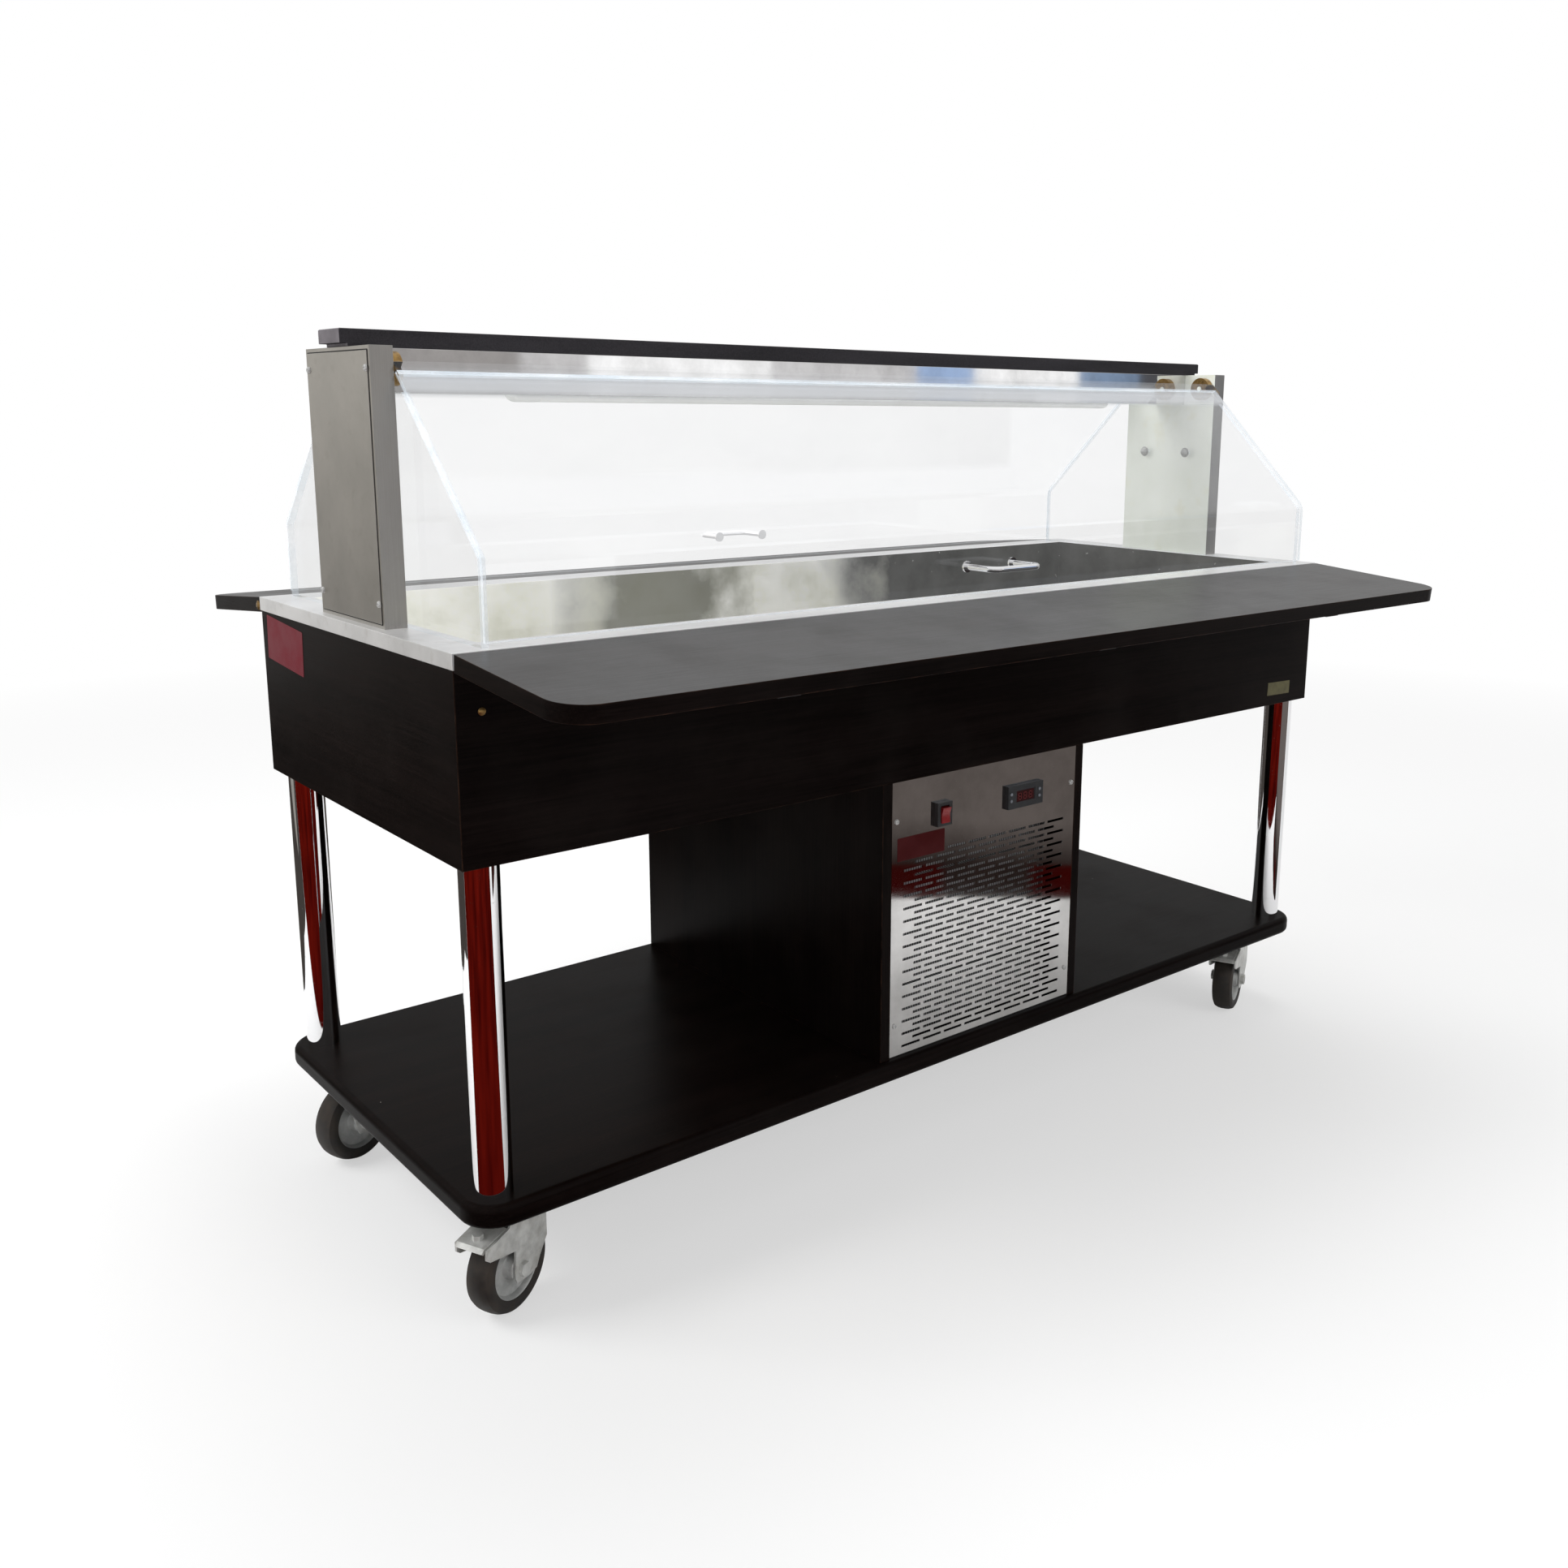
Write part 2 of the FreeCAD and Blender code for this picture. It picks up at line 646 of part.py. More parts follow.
def well_top():
    """Worktop sheet with its turned-down lip and the open well with its drain hole, in one sheet."""
    body = new_body("well_top")
    place(body, z=worktop)
    edge_x = half_x + gauge
    edge_y = half_y + gauge
    pad(body, "XY_Plane", -lip_height, lip_height, rect(-edge_x, -edge_y, edge_x, edge_y))
    cut(body, "XY_Plane", -lip_height - 1, lip_height + 1 - gauge, rect(-half_x, -half_y, half_x, half_y))
    pad(body, "XY_Plane", -well_depth - gauge, well_depth + gauge,
        box_about(0, 0, well_length + gauge * 2, well_width + gauge * 2))
    cut(body, "XY_Plane", -well_depth, well_depth + 1, box_about(0, 0, well_length, well_width))
    cut(body, "XY_Plane", -well_depth - gauge - 1, gauge + 2, disc(drain_x, 0, drain_bore / 2))


def drain_spout():
    """Tail pipe from the drain hole down through the box floor, held there by its back nut."""
    body = new_body("drain_spout")
    place(body, drain_x, 0, apron_bottom)
    bore = drain_bore / 2
    top = apron_height - gauge - well_depth
    pad(body, "XY_Plane", -12, top + 12, disc(0, 0, bore + 2))
    pad(body, "XY_Plane", -6, 6, hexagon(0, 0, drain_bore + 16))
    cut(body, "XY_Plane", -13, top + 14, disc(0, 0, bore))


# ---------------------------------------------------------------- superstructure
def columns():
    for name, side in (("column_left", -1), ("column_right", 1)):
        body = new_body(name)
        inner = side * column_in_face
        centre = inner + side * column_thick / 2
        place(body, centre, 0, worktop)
        wide = column_thick
        deep = column_depth
        pad(body, "XY_Plane", 0, column_height, box_about(0, 0, wide, deep))
        hollow = box_about(0, 0, wide - gauge * 2, deep - gauge * 2)
        cut(body, "XY_Plane", -1, column_height + 1 - gauge, hollow)
        start = wide / 2 - 1 if side < 0 else -wide / 2 - hub_thick - 2
        for end in (-1, 1):
            stud = disc(end * hub_y, hub_z, stud_dia / 2)
            pad(body, "YZ_Plane", start, hub_thick + 3, stud)


def beam():
    body = new_body("beam")
    place(body, z=beam_bottom)
    outer = rect(-beam_depth / 2, 0, beam_depth / 2, beam_height)
    inner = rect(gauge - beam_depth / 2, gauge, beam_depth / 2 - gauge, beam_height - gauge)
    pad(body, "YZ_Plane", -column_in_face, column_in_face * 2, outer, inner)


def top_board():
    body = new_body("top_board")
    place(body, z=column_top)
    under = box_about(0, 0, (half_x - column_in) * 2 - 3, board_depth)
    pad(body, "XY_Plane", 0, packer_thick, under)
    pad(body, "XY_Plane", packer_thick, board_thick, box_about(0, 0, board_length, board_depth))
    soften(body, "Chamfer", 1.2, lambda edge: edge.BoundBox.ZMin > board_thick.value)


def lamp():
    body = new_body("lamp_housing")
    place(body, z=beam_bottom - 10)
    pad(body, "XY_Plane", 0, 10, box_about(0, 0, lamp_length - 24, lamp_width))
    body = new_body("lamp_diffuser")
    place(body, z=beam_bottom - 10)
    half = lamp_width / 2
    deep = 16
    profile = [(-half, 0), (-half, -deep * 0.45), (-half + 4, -deep * 0.8), (-half + 10, -deep)]
    profile += [(half - 10, -deep), (half - 4, -deep * 0.8), (half, -deep * 0.45), (half, 0)]
    pad(body, "YZ_Plane", -lamp_length / 2, lamp_length, profile)
    hollow = rect(-half + 4, -deep + 2, half - 4, 1)
    cut(body, "YZ_Plane", -lamp_length / 2 + 4, lamp_length - 8, hollow)
    doc.recompute()


def end_panels():
    top_out = pane_reach - (beam_bottom - corner_z) * cosine(slope) / sine(slope)
    high = beam_bottom - worktop
    points = [(-pane_reach, 0), (-pane_reach, pane_corner), (-top_out, high)]
    points += [(-y, z) for y, z in reversed(points)]
    for name, start in (("end_panel_left", -column_in_face), ("end_panel_right", column_in_face - pane_thick)):
        body = new_body(name)
        place(body, start, 0, worktop)
        pad(body, "YZ_Plane", 0, pane_thick, points)
        cut(body, "YZ_Plane", -1, pane_thick + 2, disc(-50, 198, 4), disc(50, 198, 4))


def slope_point(base_y, base_z, along, out):
    """A point measured up the guard's slope and out from its inner face (front guard)."""
    y = base_y + along * cosine(slope) - out * sine(slope)
    z = base_z + along * sine(slope) + out * cosine(slope)
    return y, z


def guard_top():
    """Where the sloping pane's inner face ends, near the pivot."""
    y = -(hub_y + 24)
    z = corner_z + (y + pane_reach) * sine(slope) / cosine(slope) + face_rise
    return y, z


def guard(name, end):
    body = new_body(name)
    inner = pane_reach + guard_gap
    outer = inner + guard_thick
    bottom = worktop + guard_lift
    inner_bend = corner_z + guard_gap * bend_rise
    outer_bend = corner_z + (guard_gap + guard_thick) * bend_rise
    top_y, top_z = guard_top()
    points = [(-inner, bottom), (-inner, inner_bend), (top_y, top_z)]
    points += [slope_point(top_y, top_z, 0, guard_thick), (-outer, outer_bend), (-outer, bottom)]
    points = [(-end * y, z) for y, z in points]
    pad(body, "YZ_Plane", -guard_length / 2, guard_length, points)
    bends = ((inner, inner_bend, guard_bend), (outer, outer_bend, guard_bend + guard_thick))
    for y, z, radius in bends:
        soften(body, "Fillet", radius, lambda edge, y=y, z=z: runs_along(edge, end * y.value, z.value))


def runs_along(edge, y, z):
    x_span, y_span, z_span = spans(edge)
    centre = edge.BoundBox.Center
    return x_span > 100 and y_span + z_span < 0.01 and abs(centre.y - y) + abs(centre.z - z) < 0.05


def guard_profile(name, end):
    """Channel that grips the guard's top edge, with a round hub at each end."""
    body = new_body(name)
    top_y, top_z = guard_top()
    legs = [(-12, -2.5), (13, -2.5), (13, guard_thick + 2.5), (-12, guard_thick + 2.5)]
    legs += [(-12, guard_thick), (0, guard_thick), (0, 0), (-12, 0)]
    points = [slope_point(top_y, top_z, along, out) for along, out in legs]
    points = [(-end * y, z) for y, z in points]
    reach = column_in_face - 0.3
    pad(body, "YZ_Plane", -reach, reach * 2, points)
    hub = disc(end * hub_y, worktop + hub_z, hub_dia / 2)
    pad(body, "YZ_Plane", -reach, hub_thick, hub)
    pad(body, "YZ_Plane", reach - hub_thick, hub_thick, hub)
    bore = disc(end * hub_y, worktop + hub_z, stud_dia / 2 + fit)
    cut(body, "YZ_Plane", -reach - 1, reach * 2 + 2, bore)


def handle(name, end):
    """Bent round bar: two legs and a crossbar, standing straight out from the guard."""
    body = new_body(name)
    face = pane_reach + guard_gap + guard_thick
    place(body, 0, end * face, worktop + handle_height)
    half = handle_span / 2
    bend = 14
    path = new_sketch(body, "XY_Plane", 0, [])
    spots = [(-half, 0), (-half, end * (handle_reach - bend)), (-half + bend, end * handle_reach)]
    spots += [(half - bend, end * handle_reach), (half, end * (handle_reach - bend)), (half, 0)]
    points = [FreeCAD.Vector(size(x).value, size(y).value, 0) for x, y in spots]
    for a, b in ((0, 1), (2, 3), (4, 5)):
        path.addGeometry(Part.LineSegment(points[a], points[b]), False)
    for side, near in ((-1, points[1]), (1, points[4])):
        centre = FreeCAD.Vector(near.x - side * bend, near.y, 0)
        begin, stop = arc_angles(side, end)
        circle = Part.Circle(centre, FreeCAD.Vector(0, 0, 1), bend)
        path.addGeometry(Part.ArcOfCircle(circle, begin, stop), False)
    join_handle(path, end)
    for line, spot, point in ((0, 1, 0), (0, 2, 1), (1, 1, 2), (1, 2, 3), (2, 1, 4), (2, 2, 5)):
        tie(path, "DistanceX", spots[point][0], -1, 1, line, spot)
        tie(path, "DistanceY", spots[point][1], -1, 1, line, spot)
    tie(path, "DistanceY", end * (handle_reach - bend), -1, 1, 3, 3)
    tie(path, "DistanceY", end * (handle_reach - bend), -1, 1, 4, 3)
    ring = new_sketch(body, "XZ_Plane", 0, [disc(-half, 0, handle_rod / 2)])
    pipe = body.newObject("PartDesign::AdditivePipe", f"{name}_bar")
    pipe.Profile = ring
    pipe.Spine = (path, [])
    for x in (-half, half):
        start = 0 if end > 0 else -3
        pad(body, "XZ_Plane", start, 3, disc(x, 0, handle_rod / 2 + 4))


def arc_angles(side, end):
    if end > 0:
        return (math.pi / 2, math.pi) if side < 0 else (0, math.pi / 2)
    return (math.pi, 1.5 * math.pi) if side < 0 else (1.5 * math.pi, 2 * math.pi)


def join_handle(path, end):
    """Join the bar's arcs (3 left, 4 right) to its lines."""
    left_low, left_high = (2, 1) if end > 0 else (1, 2)
    right_low, right_high = (1, 2) if end > 0 else (2, 1)
    pairs = ((3, left_low, 0, 2), (3, left_high, 1, 1), (4, right_high, 1, 2), (4, right_low, 2, 1))
    for arc, arc_spot, line, line_spot in pairs:
        path.addConstraint(Sketcher.Constraint("Coincident", arc, arc_spot, line, line_spot))


# ---------------------------------------------------------------- tray shelves
def shelf_axis(end):
    return end * (half_y + gauge + shelf_pin_out), worktop - shelf_pin_drop


def shelf(name, end):
    body = new_body(name)
    y, z = shelf_axis(end)
    place(body, 0, y, z, shelf_droop, (-end, 0, 0))
    near = -end * (shelf_pin_out + 0.5)
    far = end * (shelf_width - shelf_pin_out - 0.5)
    low, high = (near, far) if end > 0 else (far, near)
    pad(body, "XY_Plane", 12, shelf_thick, rect(-half_x, low, half_x, high))
    soften(body, "Fillet", shelf_corner,
           lambda edge: upright(edge) and abs(edge.BoundBox.Center.y) > shelf_width.value / 2)


def shelf_frame(name, end):
    """Steel carrier under the shelf: three arms on the pivot and a bar that joins them."""
    body = new_body(name)
    y, z = shelf_axis(end)
    place(body, 0, y, z, shelf_droop, (-end, 0, 0))
    tip = shelf_width - shelf_pin_out - 22
    arm = [(9, 12), (9, -4), (4, -9), (-50, -9), (-tip, 4), (-tip, 12)]
    arm = [(-end * out, up) for out, up in arm]
    for x in (-arm_spread, 0, arm_spread):
        pad(body, "YZ_Plane", x - arm_width / 2, arm_width, arm)
    bar = rect(end * (tip - 30), 4, end * (tip - 5), 12)
    pad(body, "YZ_Plane", -arm_spread, arm_spread * 2, bar)
    for x in (-arm_spread, 0, arm_spread):
        bore = disc(0, 0, shelf_pin_dia / 2 + fit)
        cut(body, "YZ_Plane", x - arm_width / 2 - 1, arm_width + 2, bore)


def shelf_rail(name, end):
    """Fixed hinge rail on the apron, with a pair of ears and a pin for each arm."""
    body = new_body(name)
    y, z = shelf_axis(end)
    place(body, 0, y, z)
    back = shelf_pin_out + gauge
    face = rect(-arm_spread - 60, -46, arm_spread + 60, -4)
    start = -end * back if end > 0 else back - 3
    pad(body, "XZ_Plane", start, 3, face)
    ear = [(back - 2, 4), (back - 2, -26), (-2, -9), (-8, -4), (-8, 4), (-3, 8), (3, 8)]
    ear = [(-end * out, up) for out, up in ear]
    for x in (-arm_spread, 0, arm_spread):
        for start in (x - arm_width / 2 - 5.5, x + arm_width / 2 + 0.5):
            pad(body, "YZ_Plane", start, 5, ear)
        pad(body, "YZ_Plane", x - arm_width / 2 - 8, arm_width + 16, disc(0, 0, shelf_pin_dia / 2))


# ---------------------------------------------------------------- build and write
def build():
    base_shelf()
    castors()
    bay_sides()
    bay_rear()
    grille_panel()
    switch_housing()
    switch_rocker()
    thermostat()
    thermostat_keys()
    compressor()
    condenser()
    fan_rotor()
    evaporator()
    cable_gland()
    box_floor()
    apron()
    insulation()
    well_top()
    drain_spout()
    columns()
    beam()
    top_board()
    lamp()
    end_panels()
    for end_name, end in (("front", -1), ("rear", 1)):
        guard(f"guard_{end_name}", end)
        guard_profile(f"guard_profile_{end_name}", end)
        handle(f"handle_{end_name}", end)
        shelf(f"shelf_{end_name}", end)
        shelf_frame(f"shelf_frame_{end_name}", end)
        shelf_rail(f"shelf_rail_{end_name}", end)


build()
doc.recompute()
faults = [o.Name for o in doc.Objects if "Invalid" in o.State or "Error" in o.State]
faults += [b.Name for b in bodies if b.Shape.isNull() or not b.Shape.isValid()]
if faults:
    raise RuntimeError("parts that did not build: " + ", ".join(faults))
os.makedirs("parts", exist_ok=True)
for body in bodies:
    body.Shape.exportStep(f"parts/{body.Name}.step")
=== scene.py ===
import json
import math

import bmesh
import bpy
from mathutils import Matrix, Vector

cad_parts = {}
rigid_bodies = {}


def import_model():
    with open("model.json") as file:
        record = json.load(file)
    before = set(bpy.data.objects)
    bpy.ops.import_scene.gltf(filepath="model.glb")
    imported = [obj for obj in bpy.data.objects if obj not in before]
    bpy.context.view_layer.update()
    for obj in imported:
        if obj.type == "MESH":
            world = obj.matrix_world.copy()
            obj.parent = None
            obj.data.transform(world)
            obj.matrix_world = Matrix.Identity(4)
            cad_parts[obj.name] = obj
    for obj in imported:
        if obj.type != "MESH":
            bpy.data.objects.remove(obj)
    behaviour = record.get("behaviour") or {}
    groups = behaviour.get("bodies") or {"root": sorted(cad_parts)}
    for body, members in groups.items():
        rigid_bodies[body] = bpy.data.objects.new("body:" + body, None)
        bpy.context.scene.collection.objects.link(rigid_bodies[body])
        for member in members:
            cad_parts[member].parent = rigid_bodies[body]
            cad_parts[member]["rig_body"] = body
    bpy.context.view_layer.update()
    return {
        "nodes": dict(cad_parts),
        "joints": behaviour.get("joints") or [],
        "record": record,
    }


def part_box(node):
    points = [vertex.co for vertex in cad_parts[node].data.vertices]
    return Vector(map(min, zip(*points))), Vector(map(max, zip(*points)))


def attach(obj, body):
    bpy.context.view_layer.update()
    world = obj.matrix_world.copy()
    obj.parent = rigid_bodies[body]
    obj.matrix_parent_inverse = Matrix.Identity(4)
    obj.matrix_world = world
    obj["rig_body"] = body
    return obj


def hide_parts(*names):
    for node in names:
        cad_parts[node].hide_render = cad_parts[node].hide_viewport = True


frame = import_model()
cad_nodes = frame["nodes"]
slot_of = {part["node"]: part["material_slot"] for part in frame["record"]["subparts"]}
body_of = {node: piece["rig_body"] for node, piece in cad_nodes.items()}

mm = 0.001
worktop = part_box("well_top")[1].z
rim_depth = 21 * mm
guard_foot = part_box("guard_front")[0].z
guard_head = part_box("guard_front")[1].z
hub_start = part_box("guard_profile_front")[1].x - 15 * mm
cover_thick = 1.2 * mm
SIDES = ((-1, "left"), (1, "right"))
CORNERS = ("front_left", "front_right", "rear_left", "rear_right")


# ---------------------------------------------------------------- finishes

class Wire:
    """A value, colour or vector on its way from one node to the next."""

    def __init__(self, finish, socket):
        self.finish = finish
        self.socket = socket

    def __add__(self, other):
        return self.finish.maths("ADD", self, other)

    def __radd__(self, other):
        return self.finish.maths("ADD", other, self)

    def __sub__(self, other):
        return self.finish.maths("SUBTRACT", self, other)

    def __rsub__(self, other):
        return self.finish.maths("SUBTRACT", other, self)

    def __mul__(self, other):
        return self.finish.maths("MULTIPLY", self, other)

    def __rmul__(self, other):
        return self.finish.maths("MULTIPLY", other, self)

    def __pow__(self, other):
        return self.finish.maths("POWER", self, other)

    def __gt__(self, other):
        return self.finish.maths("GREATER_THAN", self, other)

    def __lt__(self, other):
        return self.finish.maths("LESS_THAN", self, other)

    def __abs__(self):
        return self.finish.maths("ABSOLUTE", self)

    def between(self, low, high):
        """0 at low, 1 at high, and evenly from one to the other."""
        ends = {"From Min": low, "From Max": high}
        return self.finish.node("ShaderNodeMapRange", {}, {"Value": self, **ends})


class Finish:
    """One material, built from nodes."""

    def __init__(self, name, owner=None):
        self.owner = owner or bpy.data.materials.new(name)
        self.owner.use_nodes = True
        self.tree = self.owner.node_tree
        self.tree.nodes.clear()
        self.place = None
        if owner is None:
            self.place = self.node("ShaderNodeTexCoord", {}, {}, "Object")

    def node(self, kind, settings, sockets, output=0):
        """A node with its settings, then its sockets' values or links; gives one output."""
        made = self.tree.nodes.new(kind)
        for name, value in settings.items():
            setattr(made, name, value)
        for name, value in sockets.items():
            socket = made.inputs[name]
            if isinstance(value, Wire):
                self.tree.links.new(value.socket, socket)
            elif socket.type == "RGBA":
                socket.default_value = (*value, 1)
            else:
                socket.default_value = value
        return Wire(self, made.outputs[output]) if made.outputs else made

    def maths(self, operation, *values):
        """Sum on values, or on vectors where one of them is a vector."""
        wires = [value for value in values if isinstance(value, Wire)]
        vectors = any(wire.socket.type == "VECTOR" for wire in wires)
        kind = "ShaderNodeVectorMath" if vectors else "ShaderNodeMath"
        return self.node(kind, {"operation": operation}, dict(enumerate(values)))

    def mix(self, share, first, second):
        """Colour that is first where share is 0 and second where it is 1."""
        return self.node("ShaderNodeMix", {"data_type": "RGBA"}, {0: share, 6: first, 7: second}, 2)

    def part(self, vector, letter):
        """X, Y or Z of a vector."""
        return self.node("ShaderNodeSeparateXYZ", {}, {"Vector": vector}, letter)

    def noise(self, place, scale, detail=3, rough=0.55):
        """Soft cloudy pattern, about 0.5 on average."""
        sockets = {"Vector": place, "Scale": scale, "Detail": detail, "Roughness": rough}
        return self.node("ShaderNodeTexNoise", {}, sockets)

    def cells(self, place, scale):
        """Distance from the nearest of scattered points."""
        return self.node("ShaderNodeTexVoronoi", {}, {"Vector": place, "Scale": scale})

    def edges(self, reach):
        """1 along sharp edges, 0 on open faces."""
        rounded = self.node("ShaderNodeBevel", {"samples": 4}, {"Radius": reach})
        flat = self.node("ShaderNodeNewGeometry", {}, {}, "Normal")
        dot = {"operation": "DOT_PRODUCT"}
        same = self.node("ShaderNodeVectorMath", dot, {0: rounded, 1: flat}, "Value")
        return (1 - same).between(0.02, 0.25)

    def bump(self, height, depth, strength=1.0, over=None):
        """Relief drawn by a pattern, laid over another relief where one is given."""
        sockets = {"Height": height, "Distance": depth, "Strength": strength}
        if over is not None:
            sockets["Normal"] = over
        return self.node("ShaderNodeBump", {}, sockets)

    def surface(self, **sockets):
        """The shader that ends the finish; underscores in names stand for spaces."""
        named = {name.replace("_", " "): value for name, value in sockets.items()}
        shader = self.node("ShaderNodeBsdfPrincipled", {}, named)
        self.node("ShaderNodeOutputMaterial", {}, {"Surface": shader})
        return self.owner


def along(axis, fine, coarse):
    """Scales that draw a pattern out along one axis."""
    return tuple(coarse if axis == letter else fine for letter in "xyz")


def wenge(name, axis, gloss=0.03, grain=0.10 * mm):
    """Stained dark laminate: fine pores along the grain, brown where its edges have worn."""
    f = Finish(name)
    fibres = f.noise(f.place * along(axis, 420, 9), 1, 5, 0.65)
    bands = f.noise(f.place * along(axis, 26, 1.2), 1, 3)
    pores = f.noise(f.place * along(axis, 900, 30), 1, 2).between(0.62, 0.74)
    dust = f.noise(f.place, 7, 5).between(0.45, 0.85)
    tone = (fibres * 0.6 + bands * 0.4).between(0.34, 0.66)
    wood = f.mix(tone, (0.0014, 0.0009, 0.0008), (0.0070, 0.0042, 0.0037))
    wood = f.mix(pores * 0.55, wood, (0.0010, 0.0006, 0.0006))
    wood = f.mix(dust * 0.07, wood, (0.060, 0.048, 0.043))
    rubbed = f.edges(2.2 * mm) * f.noise(f.place, 38, 4).between(0.36, 0.68)
    wood = f.mix(rubbed * 0.75, wood, (0.125, 0.058, 0.034))
    flecks = (f.cells(f.place, 19) < 0.012) * (f.noise(f.place, 3) > 0.56)
    wood = f.mix(flecks, wood, (0.55, 0.52, 0.48))
    return f.surface(
        Base_Color=wood,
        Roughness=0.25 + fibres * 0.16 + dust * 0.12,
        Specular_IOR_Level=gloss,
        Normal=f.bump(fibres - pores * 0.5, grain, 0.7),
    )


def stone_laminate(name, low_shade, high_shade):
    """Dark grey speckled laminate of the top board."""
    f = Finish(name)
    speckle = f.noise(f.place, 900, 2)
    cloud = f.noise(f.place * (0.6, 4, 4), 6, 4)
    tone = (speckle * 0.55 + cloud * 0.45).between(0.36, 0.64)
    board = f.mix(tone, low_shade, high_shade)
    board = f.mix(f.edges(1.2 * mm) * 0.4, board, (0.13, 0.12, 0.13))
    return f.surface(
        Base_Color=board,
        Roughness=0.40 + speckle * 0.22,
        Specular_IOR_Level=0.2,
        Normal=f.bump(speckle, 0.05 * mm, 0.5),
    )


def plywood():
    """Birch plywood, the underside of the cooling box."""
    f = Finish("birch_plywood")
    grain = f.noise(f.place * (5, 60, 60), 1, 5)
    knots = f.cells(f.place * (3, 9, 9), 1).between(0.02, 0.12)
    wood = f.mix(grain.between(0.3, 0.7), (0.40, 0.26, 0.145), (0.57, 0.41, 0.25))
    wood = f.mix((1 - knots) * 0.7, wood, (0.16, 0.085, 0.04))
    return f.surface(Base_Color=wood, Roughness=0.55 + grain * 0.2, Normal=f.bump(grain, 0.2 * mm))


def foam():
    """Rigid insulating foam with its skin of small cells."""
    f = Finish("insulating_foam")
    cell = f.cells(f.place, 700)
    shade = f.mix(cell, (0.62, 0.52, 0.30), (0.80, 0.71, 0.46))
    return f.surface(Base_Color=shade, Roughness=0.82 + cell * 0.1, Normal=f.bump(cell, 0.4 * mm))


def brushed_steel(name, axis, shade, dents=0.0, glow=0.0):
    """Stainless sheet with fine brush lines, wiped smears, shallow dents where dents are given, and a
    painted glow where glow is given.
    """
    f = Finish(name)
    lines = f.noise(f.place * along(axis, 1500, 7), 1, 3, 0.6)
    smear = f.noise(f.place * along(axis, 7, 2.5), 1, 5, 0.6)
    spots = f.noise(f.place, 46, 4).between(0.56, 0.80)
    dark = tuple(part * 0.66 for part in shade)
    steel = f.mix((smear * 0.7 + lines * 0.3).between(0.3, 0.7), dark, shade)
    steel = f.mix(spots * 0.22, steel, (0.36, 0.33, 0.28))
    relief = f.bump(lines, 0.03 * mm, 0.35)
    if dents:
        relief = f.bump(f.noise(f.place, 5.5, 2, 0.4), dents, over=relief)
    return f.surface(
        Base_Color=steel,
        Metallic=1.0,
        Roughness=0.20 + lines * 0.14 + smear * 0.14 + spots * 0.1,
        Normal=relief,
        # Emission from the steel's own colour, as strong as glow: a painted glow, painted light, where
        # glow is given.
        Emission_Color=steel,
        Emission_Strength=glow,
    )


def mirror_steel(name, haze, sway):
    """Polished stainless sheet, slightly wavy, with finger smears and a painted highlight along its edges.
    """
    f = Finish(name)
    wave = f.noise(f.place, 3.2, 1, 0.3)
    smear = f.noise(f.place, 14, 5, 0.6)
    lines = f.noise(f.place * (9, 9, 900), 1, 2)
    steel = f.mix(smear.between(0.35, 0.7), (0.66, 0.65, 0.64), (0.50, 0.49, 0.48))
    # Lighter colour along the edges: a painted highlight.
    steel = f.mix(f.edges(0.7 * mm) * 0.6, steel, (0.86, 0.86, 0.86))
    return f.surface(
        Base_Color=steel,
        Metallic=1.0,
        Roughness=haze + smear * 0.05 + lines * 0.02,
        Normal=f.bump(wave + lines * 0.004, sway, 0.9),
    )


def well_steel():
    """Well walls: steel with painted reflections in its colour, that is bright blotches, soft-edged dark
    patches and bright glints, and a painted glow; shallow dents in its relief.
    """
    f = Finish("well_sheet")
    lines = f.noise(f.place * (7, 1500, 1500), 1, 3, 0.6)
    dent = f.noise(f.place, 5.5, 2, 0.4)
    blotch = f.noise(f.place, 11, 5, 0.62)
    # Painted reflections: the colour turns dark in soft-edged patches by place along X, wobbled by noise.
    swayed = f.part(f.place, "X") + (dent - 0.5) * 0.18 + (blotch - 0.5) * 0.14
    painted_dark_middle = 1 - abs(swayed + 0.19).between(0.09, 0.20)
    far = swayed.between(0.17, 0.28)
    # Bright blotches, a painted dark reflection in the middle and a darker painted reflection towards the
    # far end.
    steel = f.mix(blotch.between(0.3, 0.7), (0.70, 0.70, 0.61), (0.95, 0.95, 0.92))
    steel = f.mix(painted_dark_middle * 0.86, steel, (0.12, 0.12, 0.095))
    steel = f.mix(far * 0.97, steel, f.mix(blotch, (0.020, 0.020, 0.018), (0.15, 0.15, 0.145)))
    # Bright flecks: painted glints.
    flecks = f.noise(f.place, 90, 3).between(0.70, 0.78)
    steel = f.mix(flecks * 0.5, steel, (0.85, 0.85, 0.82))
    relief = f.bump(lines, 0.03 * mm, 0.35)
    return f.surface(
        Base_Color=steel,
        Metallic=0.85,
        Roughness=0.20 + lines * 0.12 + blotch * 0.12,
        Normal=f.bump(dent, 4 * mm, over=relief),
        # Emission from the colour: a painted glow, painted light.
        Emission_Color=steel,
        Emission_Strength=0.41,
    )


def chrome(name="chrome_plate", glow=0.0):
    """Bright chrome plate with a few faint rub marks, and a painted glow where glow is given."""
    f = Finish(name)
    rub = f.noise(f.place * (8, 8, 30), 8, 5, 0.65)
    marks = rub.between(0.58, 0.78)
    plate = f.mix(marks * 0.5, (0.83, 0.83, 0.84), (0.60, 0.59, 0.58))
    polish = {"Metallic": 1.0, "Roughness": 0.03 + marks * 0.16}
    # Emission from the plate's colour, as strong as glow: a painted glow, painted light.
    return f.surface(Base_Color=plate, Emission_Color=plate, Emission_Strength=glow, **polish)


